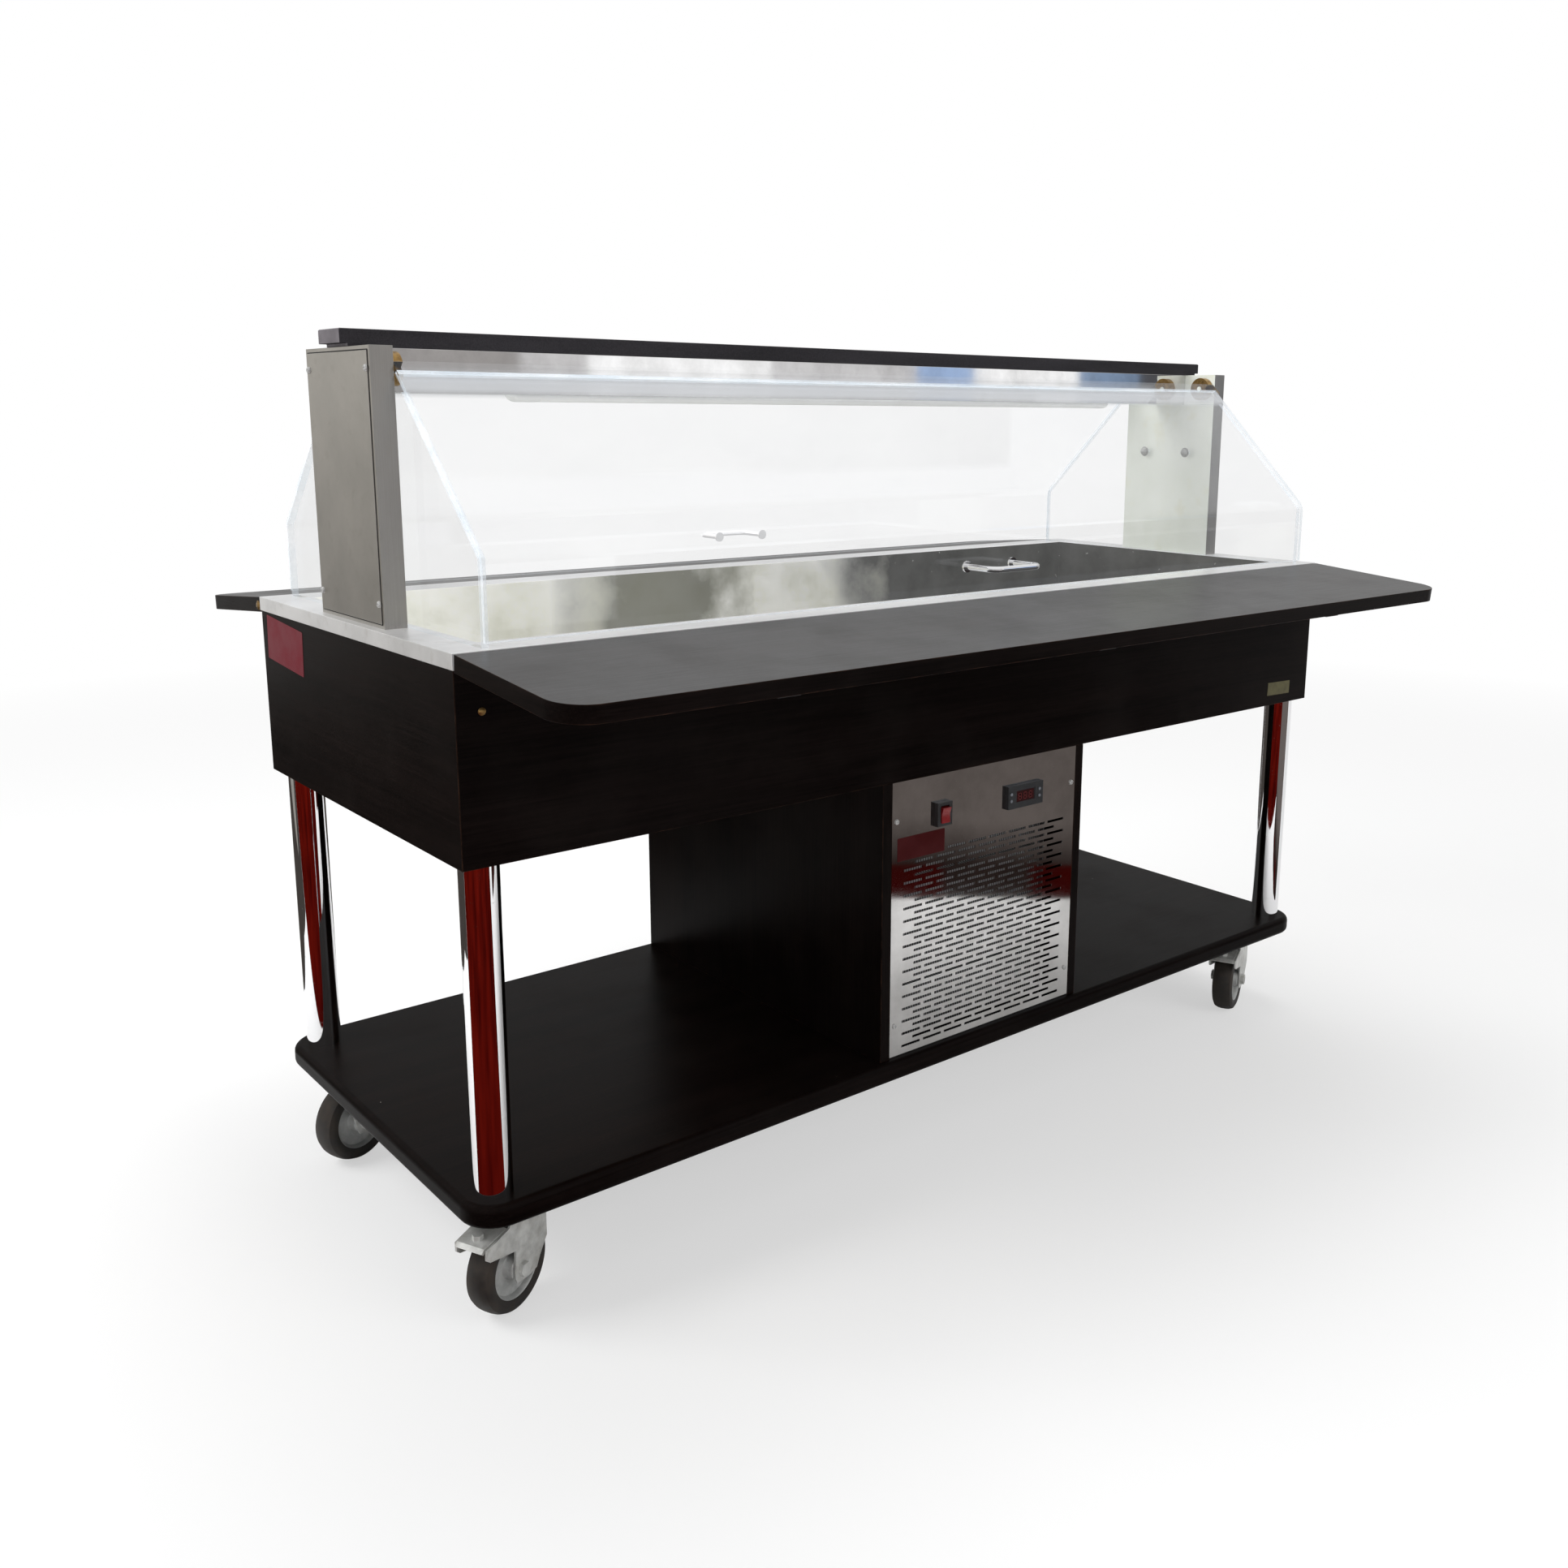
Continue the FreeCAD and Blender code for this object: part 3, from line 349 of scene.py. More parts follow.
def zinc(name="zinc_plate", shade=(0.74, 0.745, 0.72)):
    """Dull zinc plate with cloudy spangle, grime in its corners and bright rubbed edges."""
    f = Finish(name)
    cloud = f.noise(f.place, 55, 5, 0.6)
    spangle = f.cells(f.place, 260)
    grime = f.noise(f.place, 30, 4).between(0.48, 0.72)
    plate = f.mix(cloud.between(0.3, 0.7), tuple(part * 0.66 for part in shade), shade)
    plate = f.mix(grime * 0.40, plate, (0.16, 0.135, 0.095))
    plate = f.mix(f.edges(0.8 * mm) * 0.7, plate, (0.74, 0.74, 0.74))
    return f.surface(
        Base_Color=plate,
        Metallic=0.45,
        Roughness=0.34 + cloud * 0.2 + grime * 0.2,
        Normal=f.bump(cloud + spangle * 0.2, 0.12 * mm, 0.6),
    )


def tyre_rubber():
    """Black-brown castor rubber: scuffed, dusty on its tread."""
    f = Finish("tyre_rubber")
    grit = f.noise(f.place, 420, 3)
    dust = f.noise(f.place, 36, 5).between(0.40, 0.78)
    nicks = f.cells(f.place, 130).between(0.0, 0.10)
    rubber = f.mix(dust * 0.65, (0.020, 0.017, 0.015), (0.070, 0.053, 0.040))
    rubber = f.mix((1 - nicks) * 0.3, rubber, (0.13, 0.105, 0.085))
    return f.surface(
        Base_Color=rubber,
        Roughness=0.52 + dust * 0.25,
        Specular_IOR_Level=0.4,
        Normal=f.bump(grit - (1 - nicks) * 0.6, 0.12 * mm, 0.8),
    )


def clear_acrylic(name, veil, head_band=0.0):
    """Clear sheet: it shows what it mirrors, a haze of fine scratches, a painted glow, and at its head a
    band that is less clear, where the painted glow shows as a whitish strip.
    """
    f = Finish(name)
    facing = f.node("ShaderNodeLayerWeight", {}, {"Blend": 0.5}, "Facing")
    haze = f.noise(f.place * (2.0, 2.0, 5.0), 2.4, 5, 0.6).between(0.45, 0.85)
    scratch = f.noise(f.place * (14, 14, 260), 1, 3).between(0.66, 0.76)
    band_foot, band_full = guard_head - 32 * mm, guard_head - 22 * mm
    # Head band: more opaque towards the head, so the painted glow shows there as a whitish strip.
    upper = f.part(f.place, "Z").between(band_foot, band_full) * head_band
    return f.surface(
        Base_Color=(0.52, 0.53, 0.55),
        Metallic=1.0,
        Roughness=0.02 + haze * 0.05,
        Alpha=veil + upper + (facing ** 5) * 0.6 + haze * 0.03 + scratch * 0.03,
        # Emission: a painted glow that lightens the sheet, painted light.
        Emission_Color=(0.94, 0.97, 1.0),
        Emission_Strength=0.26,
    )


def acrylic_edge(name, veil, glow):
    """Polished edge of the clear sheet; its bright, faintly blue look and its glow are a painted
    highlight.
    """
    f = Finish(name)
    run = f.noise(f.place * (3, 9, 9), 3, 4)
    shade = f.mix(run.between(0.3, 0.7), (0.62, 0.74, 0.84), (0.92, 0.95, 0.98))
    return f.surface(
        Base_Color=shade,
        Roughness=0.10 + run * 0.1,
        Alpha=veil + run * 0.35,
        Coat_Weight=0.5,
        # Emission from the edge's colour, as strong as glow: painted highlight.
        Emission_Color=shade,
        Emission_Strength=glow,
    )


def aluminium(name, low_shade, high_shade):
    """Satin anodised aluminium with drawn lines."""
    f = Finish(name)
    lines = f.noise(f.place * (5, 700, 700), 1, 2)
    patch = f.noise(f.place, 12, 4)
    metal = f.mix(patch.between(0.3, 0.7), low_shade, high_shade)
    metal = f.mix(f.edges(0.7 * mm) * 0.5, metal, tuple(part * 1.6 for part in high_shade))
    return f.surface(
        Base_Color=metal,
        Metallic=0.95,
        Roughness=0.30 + lines * 0.12 + patch * 0.1,
        Normal=f.bump(lines, 0.03 * mm, 0.5),
    )


def lamp_white():
    """White lamp housing and its milky cover."""
    f = Finish("lamp_white")
    patch = f.noise(f.place, 9, 4)
    ribs = f.noise(f.place * (3, 500, 500), 1, 1)
    shade = f.mix(patch.between(0.3, 0.7), (0.80, 0.81, 0.80), (0.90, 0.91, 0.91))
    return f.surface(
        Base_Color=shade,
        Emission_Color=shade,
        Emission_Strength=0.25,
        Roughness=0.28 + patch * 0.15,
        Coat_Weight=0.2,
        Normal=f.bump(ribs, 0.05 * mm, 0.4),
    )


def plastic(name, shade, gloss, grain=0.05 * mm):
    """Moulded plastic: fine spark texture, edges a little polished by touch."""
    f = Finish(name)
    spark = f.noise(f.place, 1800, 2)
    touch = f.noise(f.place, 60, 4).between(0.4, 0.75)
    light = tuple(part * 1.5 + 0.012 for part in shade)
    skin = f.mix(touch * 0.4, shade, light)
    skin = f.mix(f.edges(0.5 * mm) * 0.45, skin, tuple(part * 2 + 0.02 for part in shade))
    return f.surface(
        Base_Color=skin,
        Roughness=gloss + spark * 0.12 + touch * 0.08,
        Normal=f.bump(spark, grain, 0.6),
    )


def black_steel():
    """Black enamel on pressed steel, orange-peel surface and a few chips."""
    f = Finish("black_enamel")
    peel = f.noise(f.place, 160, 2)
    chips = f.noise(f.place, 48, 5).between(0.66, 0.70)
    paint = f.mix(chips * 0.8, (0.012, 0.012, 0.013), (0.14, 0.13, 0.12))
    return f.surface(
        Base_Color=paint,
        Roughness=0.24 + peel * 0.14 + chips * 0.2,
        Normal=f.bump(peel - chips * 0.4, 0.15 * mm, 0.7),
    )


def fins():
    """Stack of thin aluminium fins, seen edge on; the dark bands between them are painted shade."""
    f = Finish("aluminium_fins")
    wave = f.node("ShaderNodeTexWave", {"bands_direction": "X"}, {"Vector": f.place, "Scale": 62})
    dust = f.noise(f.place, 25, 4).between(0.4, 0.8)
    # Bright fin edges against dark bands: painted shade in the gaps between the fins.
    metal = f.mix(wave, (0.075, 0.075, 0.078), (0.62, 0.63, 0.64))
    metal = f.mix(dust * 0.4, metal, (0.24, 0.22, 0.20))
    return f.surface(
        Base_Color=metal,
        Metallic=0.8,
        Roughness=0.38 + dust * 0.3,
        Normal=f.bump(wave, 0.6 * mm, 0.8),
    )


def copper():
    """Soft copper tube with brown oxide patches."""
    f = Finish("copper_tube")
    patch = f.noise(f.place, 60, 5).between(0.4, 0.75)
    metal = f.mix(patch, (0.78, 0.38, 0.23), (0.36, 0.17, 0.11))
    return f.surface(Base_Color=metal, Metallic=1.0, Roughness=0.25 + patch * 0.25)


def brass():
    """Aged brass of the hinge studs and stops."""
    f = Finish("aged_brass")
    patch = f.noise(f.place, 150, 4).between(0.35, 0.75)
    metal = f.mix(patch, (0.40, 0.25, 0.085), (0.16, 0.095, 0.040))
    metal = f.mix(f.edges(0.5 * mm) * 0.5, metal, (0.62, 0.46, 0.22))
    return f.surface(Base_Color=metal, Metallic=0.9, Roughness=0.28 + patch * 0.25)


def column_lining():
    """Pale film left on the inner face of the columns, yellowed and blotched, with a painted glow."""
    f = Finish("column_lining")
    blotch = f.noise(f.place * (7, 7, 5), 1, 6, 0.62)
    stain = f.noise(f.place, 20, 4).between(0.58, 0.78)
    film = f.mix(blotch.between(0.3, 0.7), (0.70, 0.735, 0.65), (0.83, 0.855, 0.80))
    film = f.mix(stain * 0.5, film, (0.66, 0.64, 0.44))
    sheen = {"Roughness": 0.30 + blotch * 0.2, "Metallic": 0.25}
    # Emission from the film's colour: a painted glow, painted light.
    return f.surface(Base_Color=film, Emission_Color=film, Emission_Strength=0.22, **sheen)


def sticker(name, shade, edge):
    """Glossy plain film, a little rubbed along its border."""
    f = Finish(name)
    rub = f.noise(f.place, 26, 3).between(0.40, 0.85)
    film = f.mix(rub * 0.35, shade, edge)
    film = f.mix(f.edges(0.9 * mm) * 0.4, film, edge)
    return f.surface(Base_Color=film, Roughness=0.30 + rub * 0.2, Specular_IOR_Level=0.12)


def paper_tape():
    """Creped masking tape, yellowed and soiled, its colour darkened with painted shade."""
    f = Finish("masking_tape_painted_shade")
    crepe = f.noise(f.place * (900, 120, 120), 1, 3)
    soil = f.noise(f.place, 70, 5).between(0.42, 0.75)
    # Both tones are far darker than the tape's paper, which is painted shade; the soil noise only varies
    # between them.
    tape = f.mix(soil * 0.6, (0.100, 0.090, 0.040), (0.045, 0.040, 0.022))
    return f.surface(Base_Color=tape, Roughness=0.7 + crepe * 0.2, Normal=f.bump(crepe, 0.2 * mm))


def display_window():
    """Dark red window behind the digits."""
    f = Finish("display_window")
    dust = f.noise(f.place, 260, 3).between(0.4, 0.8)
    glass = f.mix(dust * 0.3, (0.022, 0.001, 0.002), (0.05, 0.008, 0.008))
    return f.surface(Base_Color=glass, Roughness=0.07 + dust * 0.12)


def digit_glow():
    """Dim red bars of the digits, with a painted glow though the digits are unlit."""
    f = Finish("display_digits")
    glow = f.noise(f.place, 500, 2).between(0.3, 0.7)
    bars = f.mix(glow, (0.055, 0.001, 0.002), (0.09, 0.003, 0.003))
    # Emission from the bars' colour: a painted glow, painted light.
    return f.surface(
        Base_Color=bars, Roughness=0.4 + glow * 0.1, Emission_Color=bars, Emission_Strength=0.3
    )


FINISHES = {
    "wenge": wenge("wenge_lengthwise", "x"),
    "plywood": plywood(),
    "foam": foam(),
    "stainless_sheet": brushed_steel("brushed_sheet", "x", (0.66, 0.64, 0.61)),
    "mirror_steel": mirror_steel("polished_steel", 0.012, 0.25 * mm),
    "chrome_rod": chrome(),
    "zinc_steel": zinc(),
    "rubber_tyre": tyre_rubber(),
    "clear_acrylic": clear_acrylic("acrylic_face", 0.06),
    "satin_aluminium": aluminium("dark_aluminium", (0.035, 0.033, 0.034), (0.065, 0.062, 0.062)),
    "lamp_white": lamp_white(),
    "black_plastic": plastic("black_plastic", (0.014, 0.014, 0.015), 0.36),
    "red_plastic": plastic("red_rocker", (0.17, 0.005, 0.007), 0.16, 0.01 * mm),
    "black_steel": black_steel(),
    "fin_aluminium": fins(),
    "copper_pipe": copper(),
}
WENGE_ACROSS = wenge("wenge_crosswise", "y")
WENGE_UPRIGHT = wenge("wenge_upright", "z")
WENGE_TOP = wenge("wenge_shelf_top", "x", gloss=0.85, grain=0.22 * mm)
WELL_STEEL = well_steel()
# Rim: a lighter copy of the brushed steel with a painted glow, painted light on the top of the well.
RIM_STEEL_PAINTED_LIGHT = brushed_steel("rim_sheet_painted_light", "x", (0.88, 0.88, 0.88), glow=0.31)
GRILLE_STEEL = mirror_steel("grille_sheet", 0.02, 0.12 * mm)
# Rear handle: chrome with a strong painted glow, painted light that makes it look pale.
REAR_CHROME_PAINTED_GLOW = chrome("chrome_painted_glow", glow=0.60)
# Well floor: brushed steel with shallow dents and a painted glow of 0.12, painted light.
WELL_FLOOR = brushed_steel("well_floor", "x", (0.60, 0.59, 0.56), dents=2 * mm, glow=0.12)
GUARD_FACE = clear_acrylic("guard_face", 0.05, head_band=0.42)
# Darker copy of the column steel for the columns' front and back faces: painted shade.
COLUMN_SIDE_PAINTED_SHADE = brushed_steel("column_side_painted_shade", "z", (0.40, 0.385, 0.365), dents=0.8 * mm)
COLUMN_STEEL = brushed_steel("column_sheet", "z", (0.52, 0.50, 0.465), dents=0.8 * mm)
TOP_BOARD = stone_laminate("top_board_laminate", (0.011, 0.010, 0.012), (0.034, 0.031, 0.036))
# Top board ends: a lighter copy of the same laminate, painted light where the end faces are lit.
TOP_END_PAINTED_LIGHT = stone_laminate("top_board_end_painted_light", (0.070, 0.064, 0.070), (0.175, 0.160, 0.175))
# Acrylic edges: painted highlight; the head edge gets the strongest painted glow.
ACRYLIC_EDGE = acrylic_edge("acrylic_edge", 0.26, 0.18)
HEAD_EDGE = acrylic_edge("acrylic_head_edge", 0.70, 0.75)
WHEEL_DISC = zinc("wheel_disc", (0.58, 0.59, 0.58))
BRASS = brass()
COLUMN_LINING = column_lining()
SCREW = zinc("nickel_screw", (0.66, 0.66, 0.65))
STICKER_END = sticker("red_sticker_end", (0.110, 0.004, 0.012), (0.18, 0.020, 0.030))
# Grille sticker: a darker copy of the red sticker, painted shade on the front.
STICKER_GRILLE_PAINTED_SHADE = sticker("red_sticker_grille_painted_shade", (0.040, 0.0015, 0.002), (0.09, 0.010, 0.012))
TAPE_PAINTED_SHADE = paper_tape()
SHADOW_GAP = plastic("shadow_gap", (0.004, 0.004, 0.004), 0.6)
WINDOW = display_window()
DIGITS = digit_glow()
CHARCOAL = plastic("charcoal_plastic", (0.011, 0.012, 0.014), 0.42)
KEY_GREY = plastic("grey_keys", (0.14, 0.15, 0.17), 0.35)


# ---------------------------------------------------------------- shaping

def dress(node, finish):
    """Give a CAD node its finish."""
    slots = cad_nodes[node].data.materials
    slots.clear()
    slots.append(finish)


def paint(mesh, chooser):
    """Give each face the finish whose number the chooser returns for it."""
    for face in mesh.polygons:
        face.material_index = chooser(face)


def eased(node, finishes, width, chooser=None, segments=2):
    """Copy of a node with its edges eased, standing in the node's place."""
    mesh = cad_nodes[node].data.copy()
    mesh.materials.clear()
    for finish in finishes:
        mesh.materials.append(finish)
    same_spot, straight, sharp = 2e-6, math.radians(0.6), math.radians(32)
    form = bmesh.new()
    form.from_mesh(mesh)
    bmesh.ops.remove_doubles(form, verts=form.verts, dist=same_spot)
    bmesh.ops.dissolve_limit(form, angle_limit=straight, verts=form.verts, edges=form.edges)
    form.to_mesh(mesh)
    form.free()
    paint(mesh, chooser or (lambda face: 0))
    mesh.shade_smooth()
    piece = bpy.data.objects.new(f"{node}_finished", mesh)
    bpy.context.scene.collection.objects.link(piece)
    ease = piece.modifiers.new("eased_edges", "BEVEL")
    ease.width = width
    ease.segments = segments
    ease.limit_method = "ANGLE"
    ease.angle_limit = sharp
    ease.use_clamp_overlap = True
    level = piece.modifiers.new("level_faces", "WEIGHTED_NORMAL")
    level.weight = 100
    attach(piece, body_of[node])
    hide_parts(node)


def board_ends(face):
    """1 for faces that look along X, so that their grain runs crosswise; on the top board they take the
    lighter end finish, which is painted light.
    """
    return 1 if abs(face.normal.x) > 0.7 else 0


def shelf_faces(face):
    """2 for the upper face of a shelf, 1 for its ends, 0 for its long edges and underside."""
    return 2 if face.normal.z > 0.7 else board_ends(face)


def well_faces(face):
    """1 for the rim and its lip, 2 for the floor of the well, 0 for the well's walls."""
    if face.center.z > worktop - rim_depth:
        return 1
    return 2 if face.normal.z > 0.7 else 0


def column_faces(face, inward):
    """1 for the lined face that looks over the well, 2 for the front and the back, which take the darker
    painted-shade steel, else 0.
    """
    if face.normal.x * inward > 0.7:
        return 1
    return 2 if abs(face.normal.y) > 0.7 else 0


for node, slot in slot_of.items():
    dress(node, FINISHES[slot])
dress("grille_panel", GRILLE_STEEL)
dress("handle_rear", REAR_CHROME_PAINTED_GLOW)
LONG_BOARD = [FINISHES["wenge"], WENGE_ACROSS, WENGE_TOP]
for board in ("apron", "base_shelf"):
    eased(board, LONG_BOARD, 0.8 * mm, board_ends)
for board in ("shelf_front", "shelf_rear"):
    eased(board, LONG_BOARD, 0.8 * mm, shelf_faces)
for board in ("bay_side_left", "bay_side_right"):
    eased(board, [WENGE_UPRIGHT], 0.8 * mm)
eased("top_board", [TOP_BOARD, TOP_END_PAINTED_LIGHT], 0.7 * mm, board_ends)
eased("beam", [FINISHES["mirror_steel"]], 1.2 * mm)
eased("well_top", [WELL_STEEL, RIM_STEEL_PAINTED_LIGHT, WELL_FLOOR], 0.6 * mm, well_faces)
for column, inward in (("column_left", 1), ("column_right", -1)):
    sheets = [COLUMN_STEEL, COLUMN_LINING, COLUMN_SIDE_PAINTED_SHADE]
    eased(column, sheets, 1.5 * mm, lambda face: column_faces(face, inward))
for corner in CORNERS:
    eased(f"castor_fork_{corner}", [FINISHES["zinc_steel"]], 0.5 * mm)
    eased(f"castor_plate_{corner}", [FINISHES["zinc_steel"]], 0.4 * mm)
for corner in CORNERS[:2]:
    eased(f"castor_brake_{corner}", [FINISHES["zinc_steel"]], 0.5 * mm)
for end in ("front", "rear"):
    eased(f"shelf_frame_{end}", [FINISHES["satin_aluminium"]], 0.5 * mm)
    eased(f"shelf_rail_{end}", [FINISHES["satin_aluminium"]], 0.5 * mm)
eased("switch_housing", [FINISHES["black_plastic"]], 0.5 * mm)
eased("switch_rocker", [FINISHES["red_plastic"]], 0.5 * mm)
eased("thermostat_body", [CHARCOAL], 0.5 * mm)
eased("box_floor", [FINISHES["plywood"]], 0.6 * mm)
for key in ("key_set", "key_down", "key_up", "key_power"):
    eased(key, [KEY_GREY], 0.3 * mm)


# ---------------------------------------------------------------- clear panels

def end_panel_edges(face):
    """0 for the two open faces of an end panel, 1 for its edges."""
    return 0 if abs(face.normal.x) > 0.5 else 1


def guard_edges(face):
    """1 for the guard's ends and lower edge, 2 for its top edge, 0 for its open faces."""
    edge_area = 0.012
    if face.center.z > guard_head - 5 * mm and face.area < edge_area:
        return 2
    low = face.center.z < guard_foot + 0.5 * mm
    return 1 if abs(face.normal.x) > 0.5 or low else 0


def profile_parts(face):
    """1 for the brass hubs at the ends, 0 for the clear strip between them."""
    return 1 if abs(face.center.x) > hub_start else 0


CLEAR = [FINISHES["clear_acrylic"], ACRYLIC_EDGE]
for side in ("left", "right"):
    eased(f"end_panel_{side}", CLEAR, 0.5 * mm, end_panel_edges, 1)
for end in ("front", "rear"):
    eased(f"guard_{end}", [GUARD_FACE, ACRYLIC_EDGE, HEAD_EDGE], 0.5 * mm, guard_edges, 1)
    eased(f"guard_profile_{end}", [FINISHES["clear_acrylic"], BRASS], 0.4 * mm, profile_parts, 1)


# ---------------------------------------------------------------- turned pieces

def facing_turn(direction):
    """Turn that brings the Z axis to a direction."""
    return Vector(direction).to_track_quat("Z", "Y").to_matrix().to_4x4()


def made(name, form, finishes, spot, turn, body, slot):
    """Object from a form, set in place on its body."""
    mesh = bpy.data.meshes.new(name)
    bmesh.ops.recalc_face_normals(form, faces=form.faces)
    form.to_mesh(mesh)
    form.free()
    for finish in finishes:
        mesh.materials.append(finish)
    piece = bpy.data.objects.new(name, mesh)
    piece.matrix_world = Matrix.Translation(spot) @ turn
    bpy.context.scene.collection.objects.link(piece)
    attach(piece, body)
    return piece


def turned(name, profile, finish, spot, direction, body, slot, steps):
    """Lathe work: radius and height pairs turned round the piece's own axis."""
    on_axis = 1e-6
    form = bmesh.new()
    rings = []
    for radius, height in profile:
        angles = [math.tau * step / steps for step in range(steps)]
        if radius < on_axis:
            rings.append([form.verts.new((0, 0, height))])
            continue
        ring = [(radius * math.cos(angle), radius * math.sin(angle), height) for angle in angles]
        rings.append([form.verts.new(corner) for corner in ring])
    closed = profile[0][0] > on_axis and profile[-1][0] > on_axis
    pairs = list(zip(rings, rings[1:] + rings[:1] if closed else rings[1:]))
    for low, high in pairs:
        for step in range(steps):
            after = (step + 1) % steps
            quad = [low[step % len(low)], low[after % len(low)]]
            quad += [high[after % len(high)], high[step % len(high)]]
            corners = list(dict.fromkeys(quad))
            if len(corners) > 2:
                form.faces.new(corners)
    piece = made(name, form, [finish], Vector(spot), facing_turn(direction), body, slot)
    piece.data.shade_smooth()
    smooth = piece.modifiers.new("crisp_edges", "BEVEL")
    smooth.width = 0.25 * mm
    smooth.segments = 2
    smooth.limit_method = "ANGLE"
    smooth.angle_limit = math.radians(35)
    smooth.harden_normals = True
    return piece


def cross_head(name, spot, direction, radius):
    """Pan-head screw with a cross recess."""
    rings, steps = 9, 40
    crown, recess, centre_height, fullness = radius * 0.62, radius * 0.30, radius * 0.28, 3.2
    form = bmesh.new()
    centre = form.verts.new((0, 0, centre_height))
    before = None
    for ring in range(1, rings + 1):
        reach = radius * ring / rings
        dome = crown * math.sqrt(max(0, 1 - (ring / rings) ** fullness))
        row = []
        for step in range(steps):
            angle = math.tau * step / steps
            x, y = reach * math.cos(angle), reach * math.sin(angle)
            arm = min(abs(x), abs(y)) < radius * 0.13 and reach < radius * 0.62
            row.append(form.verts.new((x, y, dome - (recess if arm else 0))))
        for step in range(steps):
            after = (step + 1) % steps
            if before is None:
                form.faces.new((centre, row[step], row[after]))
            else:
                form.faces.new((before[step], row[step], row[after], before[after]))
        before = row
    form.faces.new(before)
    made(name, form, [SCREW], Vector(spot), facing_turn(direction), "chassis", "zinc_steel")


def dome_nut(name, spot, direction):
    """Washer and domed nut that hold an end panel to its column."""
    r = 7.5 * mm
    profile = [(0, 0), (r * 1.25, 0), (r * 1.25, 1.2 * mm), (r * 0.95, 1.2 * mm)]
    profile += [(r * 0.95, 4 * mm), (r * 0.80, 6.2 * mm), (r * 0.45, 8.2 * mm), (0, 8.8 * mm)]
    turned(name, profile, SCREW, spot, direction, "chassis", "zinc_steel", 32)


def fasteners():
    """Screws of the column covers and the grille panel, and the end panels' domed nuts."""
    inset, nut_reach, nut_height = 10 * mm, 50 * mm, 1.076
    for side, name in SIDES:
        low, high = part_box(f"column_{name}")
        face = low.x - cover_thick if side < 0 else high.x + cover_thick
        foot, head = worktop + 31 * mm, high.z - 27 * mm
        spots = [(face, y, z) for y in (low.y + inset, high.y - inset) for z in (foot, head)]
        for number, spot in enumerate(spots, 1):
            cross_head(f"column_screw_{name}_{number}", spot, (side, 0, 0), 4.6 * mm)
        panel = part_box(f"end_panel_{name}")
        face = panel[0].x if side > 0 else panel[1].x
        for number, y in enumerate((-nut_reach, nut_reach), 1):
            dome_nut(f"panel_nut_{name}_{number}", (face, y, nut_height), (-side, 0, 0))
    low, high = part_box("grille_panel")
    left, right = low.x + 9 * mm, high.x - 9 * mm
    foot, head = low.z + 52 * mm, high.z - 60 * mm
    spots = [(x, low.y, z) for z in (foot, head) for x in (left, right)]
    for number, spot in enumerate(spots, 1):
        cross_head(f"grille_screw_{number}", spot, (0, -1, 0), 4.2 * mm)


def wheels():
    """Tyre and pressed disc of each castor, on the wheel's own axle; profiles in millimetres."""
    joints = {joint["name"]: joint for joint in frame["joints"]}
    tyre = [(43, -17), (46, -18.4), (54, -18.8), (59.3, -16), (61.7, -10), (62.4, -4)]
    tyre += [(radius, -height) for radius, height in reversed(tyre)]
    disc = [(5.1, 21.5), (14.5, 21.5), (16, 20), (17, 10.5), (19, 8.2), (36, 7.4), (39.5, 9)]
    disc += [(41.4, 15), (43.2, 17)]
    disc += [(radius, -height) for radius, height in reversed(disc)]
    for corner in CORNERS:
        axle = joints[f"wheel_spin_{corner}"]
        pose = (axle["pos_m"], axle["axis"], f"wheel_{corner}", "rubber_tyre")
        profile = [(radius * mm, height * mm) for radius, height in tyre]
        rim = turned(f"tyre_{corner}", profile, FINISHES["rubber_tyre"], *pose, steps=96)
        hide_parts(f"castor_wheel_{corner}")
        profile = [(radius * mm, height * mm) for radius, height in disc]
        turned(f"wheel_disc_{corner}", profile, WHEEL_DISC, *pose, steps=72)


# ---------------------------------------------------------------- flat pieces

def plate(name, width, height, thick, corner, finish, spot, turn, body, slot):
    """Thin plate with rounded corners; its back lies at the spot."""
    form = bmesh.new()
    rim = []
    for sx, sy, start in ((1, 1, 0), (-1, 1, 90), (-1, -1, 180), (1, -1, 270)):
        for degrees in range(start, start + 91, 15):
            angle = math.radians(degrees)
            x = sx * (width / 2 - corner) + corner * math.cos(angle)
            y = sy * (height / 2 - corner) + corner * math.sin(angle)
            rim.append(form.verts.new((x, y, 0)))
    face = form.faces.new(rim)
    raised = bmesh.ops.extrude_face_region(form, geom=[face])["geom"]
    lifted = [item for item in raised if isinstance(item, bmesh.types.BMVert)]
    bmesh.ops.translate(form, verts=lifted, vec=(0, 0, thick))
    piece = made(name, form, [finish], Vector(spot), turn, body, slot)
    ease = piece.modifiers.new("eased_edges", "BEVEL")
    ease.width = min(0.2 * mm, thick * 0.4)
    ease.limit_method = "ANGLE"
    return piece


def looking(direction, roll=0.0):
    """Turn that stands a plate upright, its front to a direction, rolled by some degrees."""
    out = Vector(direction).normalized()
    side = Vector((0, 0, 1)).cross(out).normalized()
    rise = out.cross(side)
    upright = Matrix((side, rise, out)).transposed().to_4x4()
    return upright @ Matrix.Rotation(math.radians(roll), 4, "Z")


